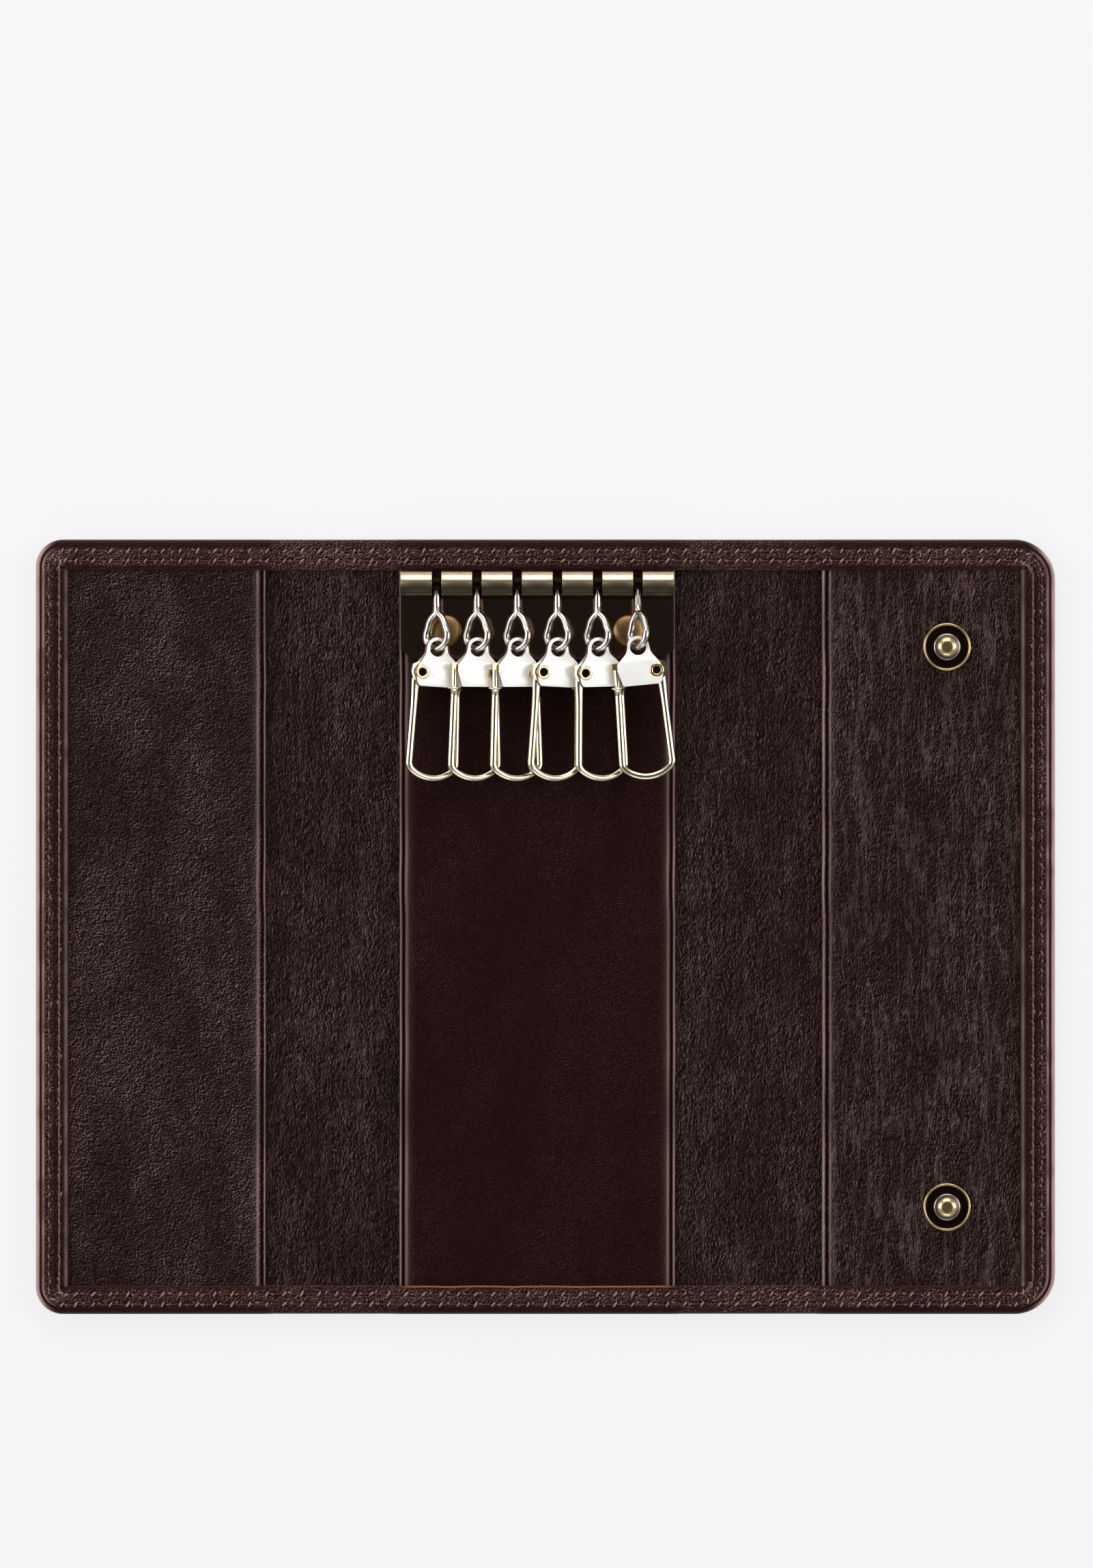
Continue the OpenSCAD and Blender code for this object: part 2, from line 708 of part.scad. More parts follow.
// Stud on the inner face of the right flap
module snap_stud(side) {
    bead_r = stud_d / 2;
    color(brass) translate([snap_x, side * snap_pitch / 2, z_top]) difference() {
        union() {
            cylinder(d = stud_flange_d, h = stud_flange_t);
            difference() {
                cylinder(d = stud_flange_d, h = stud_flange_t + stud_rim_h);
                cylinder(r = stud_flange_d / 2 - stud_rim_w, h = stud_h);
            }
            cylinder(r = stud_collar_r, h = stud_flange_t + stud_collar_h);
            cylinder(r = stud_neck_r, h = stud_h - stud_bead_z);
            translate([0, 0, stud_h - 2 * stud_bead_z])
                cylinder(r1 = stud_neck_r, r2 = bead_r, h = stud_bead_z);
            translate([0, 0, stud_h - stud_bead_z])
                cylinder(r1 = bead_r, r2 = stud_tip_r, h = stud_bead_z);
        }
        translate([0, 0, -cut])
            cylinder(r = shank_r + shank_clear, h = cut + shank_rise + shank_clear);
    }
}

// Outside cap, whose shank comes up through the leather into the stud
module snap_cap(side) {
    color(brass) translate([snap_x, side * snap_pitch / 2, 0]) {
        rotate_extrude() {
            translate([0, cap_round_r]) square([cap_d / 2, cap_t - cap_round_r]);
            square([cap_d / 2 - cap_round_r, cap_t]);
            intersection() {
                translate([cap_d / 2 - cap_round_r, cap_round_r]) circle(r = cap_round_r);
                square([cap_d / 2, cap_t]);
            }
        }
        cylinder(r = shank_r, h = z_top + shank_rise);
    }
}

// Socket on the outer face of the left flap, with a groove for its spring
module snap_socket(side) {
    groove_r = spring_r + spring_d / 2 + groove_clear;
    groove_h = spring_d + 2 * groove_clear;
    color(brass) translate([socket_x, side * snap_pitch / 2, 0]) difference() {
        union() {
            cylinder(d = socket_d, h = socket_flange_t);
            cylinder(r = barrel_out_r, h = socket_h);
        }
        translate([0, 0, -cut]) cylinder(r = socket_bore_r, h = cut + socket_bore_h);
        translate([0, 0, spring_z - groove_h / 2]) cylinder(r = groove_r, h = groove_h);
        cylinder(r = post_pin_r + post_pin_clear, h = socket_h + cut);
    }
}

// Post that clinches the socket from the lining side
module socket_post(side) {
    color(brass) translate([socket_x, side * snap_pitch / 2, socket_h]) {
        cylinder(r = post_disc_r, h = post_disc_t);
        translate([0, 0, -socket_web]) cylinder(r = post_pin_r, h = socket_web);
    }
}

// Split ring spring that grips the stud's neck
module socket_spring(side) {
    color(polished) translate([socket_x, side * snap_pitch / 2, spring_z])
        rotate_extrude(angle = spring_arc) translate([spring_r, 0]) circle(d = spring_d);
}

cover_centre();
cover_left();
cover_right();
lining_centre();
lining_left();
lining_right();
centre_panel();
left_pocket();
right_pocket();
key_rail();
for (n = [1 : 3]) {
    fold_cover(left_line(n + 1), left_line(n));
    fold_cover(right_line(n), right_line(n + 1));
    fold_lining(left_line(n + 1), left_line(n));
    fold_lining(right_line(n), right_line(n + 1));
}
for (n = [1 : hook_count]) {
    link(n - 1);
    hook_body(n - 1);
    hook_rivet(n - 1);
    key_loop(n - 1);
}
for (n = [1, 2]) {
    side = n == 1 ? 1 : -1;
    rail_rivet(-side);
    snap_stud(side);
    snap_cap(side);
    snap_socket(side);
    socket_post(side);
    socket_spring(side);
}
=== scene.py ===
"""Open tri-fold leather key case with a rail of six key hooks, lying on its back.

Sizes inside the shapes are in millimetres and become metres when a piece is finished.
X runs across the three panels, Y up the case and Z up from the table.
"""

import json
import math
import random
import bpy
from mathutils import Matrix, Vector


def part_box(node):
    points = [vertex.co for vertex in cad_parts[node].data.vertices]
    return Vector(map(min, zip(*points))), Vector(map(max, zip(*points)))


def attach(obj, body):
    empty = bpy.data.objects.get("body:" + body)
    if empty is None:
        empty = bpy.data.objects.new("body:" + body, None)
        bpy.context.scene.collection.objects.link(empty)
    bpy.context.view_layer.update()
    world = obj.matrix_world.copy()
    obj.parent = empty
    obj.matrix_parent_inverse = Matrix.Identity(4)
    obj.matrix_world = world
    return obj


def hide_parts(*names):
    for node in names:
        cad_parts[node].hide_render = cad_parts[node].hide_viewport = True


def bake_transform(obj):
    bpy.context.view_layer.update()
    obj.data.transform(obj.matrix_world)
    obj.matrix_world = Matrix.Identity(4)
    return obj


bl_info = {
    "name": "Leather Key Case",
    "version": (1, 0, 0),
    "blender": (4, 5, 0),
    "location": "3D View > Sidebar > Key Case",
    "description": "Builds a stitched tri-fold leather key case around its CAD frame",
    "category": "Add Mesh",
}

import bmesh
import bpy
import numpy as np
from mathutils import Matrix, Vector

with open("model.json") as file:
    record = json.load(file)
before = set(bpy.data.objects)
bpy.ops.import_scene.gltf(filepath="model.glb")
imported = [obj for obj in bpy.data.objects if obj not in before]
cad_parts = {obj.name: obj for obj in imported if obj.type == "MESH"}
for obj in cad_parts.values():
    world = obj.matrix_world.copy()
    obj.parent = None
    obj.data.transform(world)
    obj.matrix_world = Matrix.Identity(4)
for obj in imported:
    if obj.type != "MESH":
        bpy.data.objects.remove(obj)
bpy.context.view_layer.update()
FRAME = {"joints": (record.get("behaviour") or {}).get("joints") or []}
MM = 0.001


def cad_box(node):
    """Lowest and highest corner of a CAD node in millimetres."""
    low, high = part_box(node)
    return low / MM, high / MM


JOINTS = {joint["name"]: joint for joint in FRAME["joints"]}


def joint_place(name):
    """A point on a joint's axis, in millimetres."""
    return Vector(JOINTS[name]["pos_m"]) / MM


# Places across the case, read from the CAD frame
X_LEFT = cad_box("cover_left")[0].x
X_LEFT_POCKET = cad_box("left_pocket")[1].x
X_CENTRE_LEFT, X_CENTRE_RIGHT = (cad_box("centre_panel")[k].x for k in (0, 1))
X_RIGHT_POCKET = cad_box("right_pocket")[0].x
X_RIGHT = cad_box("cover_right")[1].x
Y_EDGE = cad_box("cover_centre")[1].y
LEFT_LINES = [joint_place(f"left_fold_turn_{n}").x for n in (1, 2, 3, 4)]
RIGHT_LINES = [joint_place(f"right_fold_turn_{n}").x for n in (1, 2, 3, 4)]

# Levels above the table
Z_OUTSIDE = cad_box("cover_centre")[0].z
Z_LINING = cad_box("lining_centre")[1].z
Z_PANEL = cad_box("centre_panel")[1].z
Z_HEM = cad_box("cover_centre")[1].z
Z_FOLD_HEM = cad_box("left_fold_1")[1].z

# Widths of the turned edges and the corner radii
HEM_TOP, HEM_BOTTOM, HEM_LEFT, HEM_RIGHT = 4.5, 4.2, 4.9, 5.2
LEFT_CORNER, RIGHT_CORNER = 4.0, 6.0
# Distances of the two stitch rows from the outer line
ROWS_TOP, ROWS_BOTTOM = (1.7, 3.15), (1.5, 3.0)
ROWS_LEFT, ROWS_RIGHT = (2.0, 3.5), (2.0, 3.3)
# Distance between the points of a leather sheet, and between points that are welded
STEP, WELD = 0.2, 1e-4


# ---------------------------------------------------------------- settings


def linear(colour):
    """Linear value of a colour given as 0 to 255 on screen."""
    out = []
    for c in colour:
        c = c / 255
        out.append(c / 12.92 if c <= 0.04045 else ((c + 0.055) / 1.055) ** 2.4)
    return tuple(out)


def colour(name, shown, description):
    """A colour setting whose default is given as 0 to 255 on screen."""
    return bpy.props.FloatVectorProperty(
        name=name, description=description, subtype="COLOR", size=3, min=0.0, max=1.0,
        default=linear(shown),
    )


def length_setting(name, default, low, high, description):
    """A length setting, given in metres."""
    return bpy.props.FloatProperty(
        name=name, description=description, unit="LENGTH", default=default, min=low, max=high,
        precision=5,
    )


class KEYCASE_PG_leather(bpy.types.PropertyGroup):
    """Colours of the leather and the thread, and how strong the grain is."""

    cover_colour: colour("Cover", (33, 14, 13), "Ground colour of the turned edges and outside")
    fold_colour: colour("Folds", (16, 5, 5), "Ground colour of the leather in the folds")
    pocket_colour: colour("Pockets", (18, 6, 6), "Ground colour of both pockets")
    panel_colour: colour("Centre panel", (25, 7, 7), "Colour of the smooth centre panel")
    # light colour of the painted highlights on grain, creases and edges, and of rubbed edges
    rubbed_and_lit_colour: colour("Rubbed leather", (170, 140, 137), "Colour of grain and rubbed edges")
    raw_edge_colour: colour("Raw edge", (150, 92, 55), "Colour of the cut edge under the panel")
    # colour of the thread's painted highlight at the holes; the shade colour is painted between
    # them
    thread_colour: colour("Thread", (150, 117, 109), "Colour of the thread at the needle holes")
    thread_shade: colour("Thread shade", (44, 25, 23), "Colour of the thread between the holes")
    grain: bpy.props.FloatProperty(
        name="Grain", description="Strength of the leather's grain", subtype="FACTOR",
        default=1.0, min=0.0, max=2.0,
    )


class KEYCASE_PG_sewing(bpy.types.PropertyGroup):
    """Sizes of the stitches."""

    pitch: length_setting("Pitch", 0.00255, 0.0015, 0.005, "Distance between two needle holes")
    tick: length_setting("Slanted stitch", 0.00085, 0.0004, 0.0014, "Length of a stitch at a hole")
    thickness: length_setting("Thread", 0.0003, 0.0002, 0.0006, "Thickness of the thread")


class KEYCASE_PG_metal(bpy.types.PropertyGroup):
    """Colours of the metal parts."""

    rail_colour: colour("Rail", (214, 196, 166), "Colour of the key rail's tube")
    plate_colour: colour("Plate", (112, 88, 76), "Colour of the dark plate under the hooks")
    link_colour: colour("Links", (200, 192, 184), "Colour of the links between rail and hooks")
    wire_colour: colour("Wire loops", (234, 222, 194), "Colour of the wire loops")
    body_colour: colour("Hook bodies", (249, 248, 247), "Colour of the bright hook bodies")
    brass_colour: colour("Brass", (232, 208, 156), "Colour of the rivets and the press studs")


# ---------------------------------------------------------------- shape helpers


def ease(low, high, x):
    """Smooth step from 0 at low to 1 at high."""
    t = np.clip((np.asarray(x, float) - low) / (high - low), 0, 1)
    return t * t * (3 - 2 * t)


def bump(x, centre, width):
    """Bell of height 1."""
    return np.exp(-(((np.asarray(x, float) - centre) / width) ** 2))


def bells(x, *lines):
    """Sum of bells, each given as its height, place and half width."""
    return sum(height * bump(x, centre, width) for height, centre, width in lines)


def lattice(i, j, seed):
    """Fixed random value from 0 to 1 at whole numbers i and j."""
    h = (i * 73856093 + j * 19349663 + seed * 83492791) & 0x7FFFFFFF
    h = ((h ^ (h >> 13)) * 1274126177) & 0x7FFFFFFF
    return ((h ^ (h >> 16)) & 0xFFFF) / 65535.0


def noise(x, y, seed):
    """Smooth value noise from -1 to 1, one cell to a unit."""
    x, y = np.broadcast_arrays(np.asarray(x, float), np.asarray(y, float))
    i, j = np.floor(x).astype(np.int64), np.floor(y).astype(np.int64)
    fx, fy = x - i, y - j
    fx, fy = fx * fx * (3 - 2 * fx), fy * fy * (3 - 2 * fy)
    low = lattice(i, j, seed) * (1 - fx) + lattice(i + 1, j, seed) * fx
    high = lattice(i, j + 1, seed) * (1 - fx) + lattice(i + 1, j + 1, seed) * fx
    return 2 * (low * (1 - fy) + high * fy) - 1


def grains(x, y, *layers):
    """Sum of noises, each given as its height, its size along X and along Y, and its seed."""
    return sum(height * noise(x / wide, y / tall, seed) for height, wide, tall, seed in layers)


def even_steps(x0, x1):
    """Places from x0 to x1, about a step apart."""
    return np.linspace(x0, x1, max(2, int(round(abs(x1 - x0) / STEP)) + 1))


def circle(x, y, r, steps):
    """Outline of a round hole."""
    turns = np.linspace(0, 2 * np.pi, steps + 1)[:-1]
    return [(x + r * math.cos(a), y + r * math.sin(a)) for a in turns]


def arc_points(cx, cy, r, start, end, steps):
    """Points along an arc."""
    turns = np.linspace(start, end, steps + 1)
    return np.column_stack([cx + r * np.cos(turns), cy + r * np.sin(turns)])


def flat_line(points):
    """Points of a plane as points in space."""
    return np.column_stack([points, np.zeros(len(points))])


def new_part():
    """An empty bmesh whose points carry a tone."""
    part = bmesh.new()
    part.verts.layers.float_vector.new("tone")
    return part


def new_grid(nu, nv):
    """A grid, and the number of each of its points along u and along v."""
    part = new_part()
    bmesh.ops.create_grid(part, x_segments=nu, y_segments=nv, size=1)
    flat = np.array([v.co for v in part.verts])
    i = np.rint((flat[:, 0] + 1) / 2 * nu).astype(int)
    j = np.rint((flat[:, 1] + 1) / 2 * nv).astype(int)
    return part, i, j


def close_tube(part):
    """Welds the seam of a rolled sheet and fills its two ends."""
    bmesh.ops.remove_doubles(part, verts=part.verts, dist=WELD)
    rims = [e for e in part.edges if e.is_boundary]
    bmesh.ops.holes_fill(part, edges=rims, sides=0)


def fill_loops(part, loops, z=0.0):
    """Fills the first loop with triangles and leaves the others open as holes."""
    edges = []
    for loop in loops:
        verts = [part.verts.new((x, y, z)) for x, y in loop]
        edges += [part.edges.new(pair) for pair in zip(verts, verts[1:] + verts[:1])]
    bmesh.ops.triangle_fill(part, use_beauty=True, edges=edges)


def to_mesh(part, name):
    """Turns a bmesh into a mesh and frees it."""
    mesh = bpy.data.meshes.new(name)
    part.to_mesh(mesh)
    part.free()
    return mesh


def new_object(name, data):
    """Puts a mesh, a lamp or a camera in the scene."""
    obj = bpy.data.objects.new(name, data)
    bpy.context.scene.collection.objects.link(obj)
    return obj


# Faces that lean more than this lie round a plate's edge
RIM_SLOPE = 0.8
# Corners that get a bevel turn by more than this, in radians
SHARP_CORNER = 1.0


class Piece:
    """Collects the parts of one object and finishes it as a mesh on a CAD body."""

    def __init__(self):
        self.bm = new_part()

    def add(self, part, material=0, matrix=None, weld=False, outward=True, tint=None, rim=None):
        """Takes in a bmesh in millimetres and frees it.

        tint gives a tone to each point, and rim is the material of the faces round the edges.
        """
        if tint:
            tone = part.verts.layers.float_vector["tone"]
            for vert in part.verts:
                vert[tone] = tint(vert.co)
        if weld:
            bmesh.ops.remove_doubles(part, verts=part.verts, dist=WELD)
        if outward:
            bmesh.ops.recalc_face_normals(part, faces=part.faces)
        for face in part.faces:
            edge = rim is not None and abs(face.normal.z) < RIM_SLOPE
            face.material_index = rim if edge else material
            face.smooth = True
        if matrix is not None:
            part.transform(matrix)
            if matrix.determinant() < 0:
                bmesh.ops.reverse_faces(part, faces=part.faces)
        mesh = to_mesh(part, "part")
        self.bm.from_mesh(mesh)
        bpy.data.meshes.remove(mesh)

    def sheet(self, us, vs, place, material=0, flip=False, closed=False):
        """A grid whose points place(u, v) puts in space; place gives xyz and a tone.

        A closed one is a tube along u, which gets its seam welded and its ends filled.
        """
        part, i, j = new_grid(len(us) - 1, len(vs) - 1)
        xyz, tint = place(np.asarray(us, float)[i], np.asarray(vs, float)[j])
        tone = part.verts.layers.float_vector["tone"]
        for vert, co, t in zip(part.verts, xyz, np.broadcast_to(tint, (len(i), 3))):
            vert.co = co
            vert[tone] = t
        if flip:
            bmesh.ops.reverse_faces(part, faces=part.faces)
        if closed:
            close_tube(part)
        self.add(part, material, outward=closed)

    def lathe(self, profile, matrix, steps=72, tint=None):
        """Spins a profile of (radius, height) round Z."""
        part = new_part()
        verts = [part.verts.new((r, 0, z)) for r, z in profile]
        edges = [part.edges.new(pair) for pair in zip(verts, verts[1:])]
        bmesh.ops.spin(
            part, geom=verts + edges, cent=(0, 0, 0), axis=(0, 0, 1), angle=2 * math.pi,
            steps=steps, use_merge=True,
        )
        self.add(part, matrix=matrix, weld=True, tint=tint)

    def plate(
        self, outline, z0, z1, matrix, bevel, segments=3, material=0, holes=(), bends=(),
        lift=None, tint=None, rim=None,
    ):
        """Extrudes an outline with holes from z0 to z1 and bevels it.

        lift(y, upper) may give the height of both faces instead, bent along the lines in bends.
        """
        part = new_part()
        fill_loops(part, (outline, *holes))
        for y in bends:
            bmesh.ops.bisect_plane(
                part, geom=part.verts[:] + part.edges[:] + part.faces[:],
                plane_co=(0, y, 0), plane_no=(0, 1, 0),
            )
        base = part.verts[:]
        grown = bmesh.ops.extrude_face_region(part, geom=part.faces[:], use_keep_orig=True)
        for v in grown["geom"]:
            if isinstance(v, bmesh.types.BMVert):
                v.co.z = lift(v.co.y, True) if lift else z1
        for v in base:
            v.co.z = lift(v.co.y, False) if lift else z0
        bmesh.ops.recalc_face_normals(part, faces=part.faces)
        sharp = [
            e for e in part.edges
            if len(e.link_faces) == 2 and e.calc_face_angle() > SHARP_CORNER
        ]
        bmesh.ops.bevel(
            part, geom=sharp, offset=bevel, offset_type="OFFSET", affect="EDGES",
            segments=segments, profile=0.5, material=-1, clamp_overlap=True,
        )
        self.add(part, material, matrix, tint=tint, rim=rim)

    def tube(self, path, wide, high, matrix=None, sides=20, tint=None):
        """Sweeps an oval, wide by high in radius, along a level path."""
        path = np.asarray(path, float)
        wide, high = (np.broadcast_to(np.asarray(r, float), len(path)) for r in (wide, high))
        tangent = np.gradient(path, axis=0)
        tangent /= np.linalg.norm(tangent, axis=1)[:, None]
        up = np.array([0.0, 0.0, 1.0])
        side = np.cross(tangent, up)
        side /= np.linalg.norm(side, axis=1)[:, None]
        part, k, j = new_grid(len(path) - 1, sides)
        a = 2 * np.pi * j / sides
        ring = side[k] * (wide[k] * np.cos(a))[:, None] + up * (high[k] * np.sin(a))[:, None]
        for vert, co in zip(part.verts, path[k] + ring):
            vert.co = co
        close_tube(part)
        self.add(part, matrix=matrix, tint=tint)

    def finish(self, name, body, materials, replaces=(), blend=None, sharp=50.0):
        """Makes the object, in metres, and puts it on its body, unless blend is given: then its
        place is baked.
        """
        self.bm.transform(Matrix.Scale(MM, 4))
        mesh = to_mesh(self.bm, name)
        for material in materials:
            mesh.materials.append(material)
        mesh.set_sharp_from_angle(angle=math.radians(sharp))
        rest = mesh.attributes.new("rest", "FLOAT_VECTOR", "POINT")
        co = np.empty(len(mesh.vertices) * 3, np.float32)
        mesh.vertices.foreach_get("co", co)
        rest.data.foreach_set("vector", co / MM)
        obj = new_object(name, mesh)
        if blend:
            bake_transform(obj)
        else:
            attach(obj, body)
        if replaces:
            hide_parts(*replaces)
        return obj


# ---------------------------------------------------------------- shader helpers


class Value:
    """A shader socket that takes part in Python sums and products."""

    def __init__(self, graph, socket):
        self.graph, self.socket = graph, socket

    def _math(self, operation, *others):
        node = self.graph.node("ShaderNodeMath", {"operation": operation})
        for slot, value in zip(node.inputs, (self, *others)):
            self.graph.feed(slot, value)
        return Value(self.graph, node.outputs[0])

    def __add__(self, other):
        return self._math("ADD", other)

    __radd__ = __add__

    def __mul__(self, other):
        return self._math("MULTIPLY", other)

    __rmul__ = __mul__

    def __sub__(self, other):
        return self._math("SUBTRACT", other)

    def __rsub__(self, other):
        return self * -1.0 + other

    def __abs__(self):
        return self._math("ABSOLUTE")

    def least(self, other):
        return self._math("MINIMUM", other)

    def most(self, other):
        return self._math("MAXIMUM", other)

    def ramp(self, low, high, out_low=0.0, out_high=1.0):
        """Smooth step from low to high."""
        node = self.graph.node("ShaderNodeMapRange", {"interpolation_type": "SMOOTHSTEP"})
        for name, value in zip(
            ("Value", "From Min", "From Max", "To Min", "To Max"),
            (self, low, high, out_low, out_high),
        ):
            self.graph.feed(node.inputs[name], value)
        return Value(self.graph, node.outputs["Result"])


class Graph:
    """The node tree of one material."""

    def __init__(self, name):
        self.material = bpy.data.materials.new(name)
        self.material.use_nodes = True
        self.tree = self.material.node_tree
        self.tree.nodes.clear()

    @classmethod
    def of_tree(cls, tree):
        """A graph over a node tree that is there already."""
        graph = cls.__new__(cls)
        graph.tree = tree
        return graph

    def node(self, kind, settings=None, **inputs):
        """A node of a type, with its settings and then the values or links of its sockets."""
        node = self.tree.nodes.new(kind)
        for key, value in (settings or {}).items():
            setattr(node, key, value)
        for key, value in inputs.items():
            self.feed(node.inputs[key.replace("_", " ")], value)
        return node

    def feed(self, slot, value):
        if isinstance(value, Value):
            self.tree.links.new(value.socket, slot)
        elif isinstance(value, (tuple, list)) and slot.type == "RGBA" and len(value) == 3:
            slot.default_value = (*value, 1.0)
        else:
            slot.default_value = value

    def value(self, node, output=0):
        return Value(self, node.outputs[output])

    def rest(self):
        """Place on the piece in millimetres, before any joint moves."""
        return self.value(self.node("ShaderNodeAttribute", {"attribute_name": "rest"}), "Vector")

    def tone(self):
        """The three values of the piece's tone.

        On leather they are raw edge, rubbed lines with painted highlight and shade, and grain, on
        thread the first is its painted lightness, and on metal the first is silver and the third
        is painted shade and dark reflection.
        """
        vector = self.value(self.node("ShaderNodeAttribute", {"attribute_name": "tone"}), "Vector")
        node = self.node("ShaderNodeSeparateXYZ", Vector=vector)
        return [self.value(node, name) for name in "XYZ"]

    def scaled(self, vector, factors):
        node = self.node("ShaderNodeVectorMath", {"operation": "MULTIPLY"})
        self.feed(node.inputs[0], vector)
        node.inputs[1].default_value = factors
        return self.value(node)

    def moved(self, vector, other):
        node = self.node("ShaderNodeVectorMath", {"operation": "ADD"})
        self.feed(node.inputs[0], vector)
        self.feed(node.inputs[1], other)
        return self.value(node)

    def noise(self, vector, scale, detail, roughness, output="Fac"):
        node = self.node(
            "ShaderNodeTexNoise", Vector=vector, Scale=scale, Detail=detail, Roughness=roughness
        )
        return self.value(node, output)

    def cells(self, vector, scale):
        """Distance from the nearest of many scattered points."""
        node = self.node("ShaderNodeTexVoronoi", {"feature": "F1"}, Vector=vector, Scale=scale)
        return self.value(node, "Distance")

    def mix(self, factor, low, high):
        node = self.node("ShaderNodeMix", {"data_type": "RGBA"})
        self.feed(node.inputs["Factor"], factor)
        slots = [s for s in node.inputs if s.type == "RGBA"]
        self.feed(slots[0], low)
        self.feed(slots[1], high)
        return Value(self, next(s for s in node.outputs if s.type == "RGBA"))

    def bumped(self, height, depth):
        """Normal of a height from 0 to 1 that stands for a depth in millimetres."""
        node = self.node("ShaderNodeBump", Height=height, Strength=1.0, Distance=depth * MM)
        return self.value(node, "Normal")

    def surface(self, **inputs):
        shader = self.node("ShaderNodeBsdfPrincipled", **inputs)
        out = self.node("ShaderNodeOutputMaterial")
        self.tree.links.new(shader.outputs[0], out.inputs["Surface"])
        return self.material


# ---------------------------------------------------------------- the turned edges

# Leather that stays clear of a panel where a fold's outer pieces end
FOLD_CLEAR = 0.35


def cuts(lines, inner, outer):
    """Places where one fold's leather is parted: by the panels and in the middle of each strip."""
    way = math.copysign(1.0, lines[3] - lines[0])
    half = abs(lines[1] - lines[0]) / 2
    first = lines[0] - way * min(half, abs(lines[0] - inner) - FOLD_CLEAR)
    last = lines[3] + way * min(half, abs(outer - lines[3]) - FOLD_CLEAR)
    middles = [(a + b) / 2 for a, b in zip(lines, lines[1:])]
    return [first, *middles, last]


LEFT_CUTS = cuts(LEFT_LINES, X_CENTRE_LEFT, X_LEFT_POCKET)
RIGHT_CUTS = cuts(RIGHT_LINES, X_CENTRE_RIGHT, X_RIGHT_POCKET)

# The turned edge steps down from a panel to a fold between these distances from the panel
STEP_FROM, STEP_TO = 0.2, 1.5
# How far the top lies under its CAD box, width of the round nose and of the underside
HEM_LOWER, NOSE, UNDER = 0.1, 1.0, 2.6
# Radius of the inner edge, how far it drops, and how far it sinks into the lining
HEM_EDGE, LINING_SINK = 0.25, 0.06
EDGE_DROP = 1.3 * HEM_EDGE
# Tone of the grain on the outside
OUTER_GRAIN = 0.6
# Pleats round a corner, how high they are, and how far a corner sinks behind them
PLEATS, PLEAT_HEIGHT, CORNER_SINK = 6, 0.2, 0.12
# Distances from the outer line over which the pleats rise and the corner sinks
PLEAT_REACH, CORNER_REACH = (1.6, 4.5), (2.4, 4.6)

# Grain and waves of the turned edge: height, size along X and along Y, and seed
HEM_GRAIN = (0.05, 0.9, 0.9, 1), (0.03, 0.4, 0.4, 2)
FOLD_GRAIN = (0.09, 0.8, 2.0, 3), (0.05, 0.45, 0.9, 4)
HEM_WAVES = (0.05, 3.1, 2.3, 5)
# Groove of a stitch row, needle hole, swell between the holes and rib between the rows,
# each with its depth and half width across the row
ROW_GROOVE, NEEDLE_HOLE, ROW_SWELL, ROW_RIB = (0.13, 0.34), (0.16, 0.3), (0.05, 0.8), (0.07, 0.35)
FOLD_GROOVE = 0.05
HOLE_SHARE = 0.11
# Bead and groove along a side's outer line, and bead by its inner edge
SIDE_LINES = (0.13, 1.15, 0.2), (-0.13, 0.82, 0.16)
SIDE_RIB = (0.14, 0.45, 0.22)

# Rubbed lines with painted highlight and shade: height, distance from the outer line
# or from the inner edge, half width
SIDE_WEAR_AND_PAINTED_LIGHT = (2.2, 0.2, 0.38), (-0.9, 0.8, 0.14), (0.9, 1.15, 0.17)
SIDE_WEAR_AND_PAINTED_LIGHT_INSIDE = (0.48, 0.4, 0.22)
END_WEAR_AND_PAINTED_LIGHT, END_WEAR_AND_PAINTED_LIGHT_INSIDE = (0.10, 0.15, 0.15), (0.07, 0.05, 0.10)


def in_folds(x):
    """1 over the folds' leather, 0 over the panels, with a short slope beside each panel."""
    share = 0.0
    for low, high in ((X_LEFT_POCKET, X_CENTRE_LEFT), (X_CENTRE_RIGHT, X_RIGHT_POCKET)):
        rise = ease(low - STEP_FROM, low + STEP_TO, x)
        share = share + rise * (1 - ease(high - STEP_TO, high + STEP_FROM, x))
    return share


def hem_top(x):
    """Height of the turned edge's plain top."""
    return Z_HEM + (Z_FOLD_HEM - Z_HEM) * in_folds(x)


def stitch_pitch():
    """Distance between needle holes in millimetres."""
    return bpy.context.scene.key_case_sewing.pitch / MM


class Run:
    """A stretch of the turned edge: its outer points and what is laid along them.

    phase counts the stitches, side is 1 along the left or right edge, corner is 1 in the middle
    of a corner, and pleat is the height of the pleats round a corner.
    """

    def __init__(self, outer, phase, flip, side=0.0, pleat=0.0, corner=0.0):
        self.outer, self.phase, self.flip = outer, phase, flip
        low = np.array([X_LEFT + HEM_LEFT, HEM_BOTTOM - Y_EDGE])
        high = np.array([X_RIGHT - HEM_RIGHT, Y_EDGE - HEM_TOP])
        across = np.clip(outer, low, high) - outer
        self.width = np.linalg.norm(across, axis=1)
        self.inward = across / self.width[:, None]
        n = len(outer)
        self.side, self.pleat, self.corner = (np.broadcast_to(v, n) for v in (side, pleat, corner))
        self.top = outer[:, 1] > 0
        side_rows = ROWS_LEFT if outer[:, 0].mean() < 0 else ROWS_RIGHT
        ends = np.where(self.top[:, None], ROWS_TOP, ROWS_BOTTOM)
        self.rows = ends + (np.array(side_rows) - ends) * self.side[:, None]


def straight_run(x0, x1, top):
    """Top or bottom edge from x0 to x1."""
    x = even_steps(x0, x1)
    y = np.full(len(x), Y_EDGE if top else -Y_EDGE)
    return Run(np.column_stack([x, y]), x / stitch_pitch(), top)


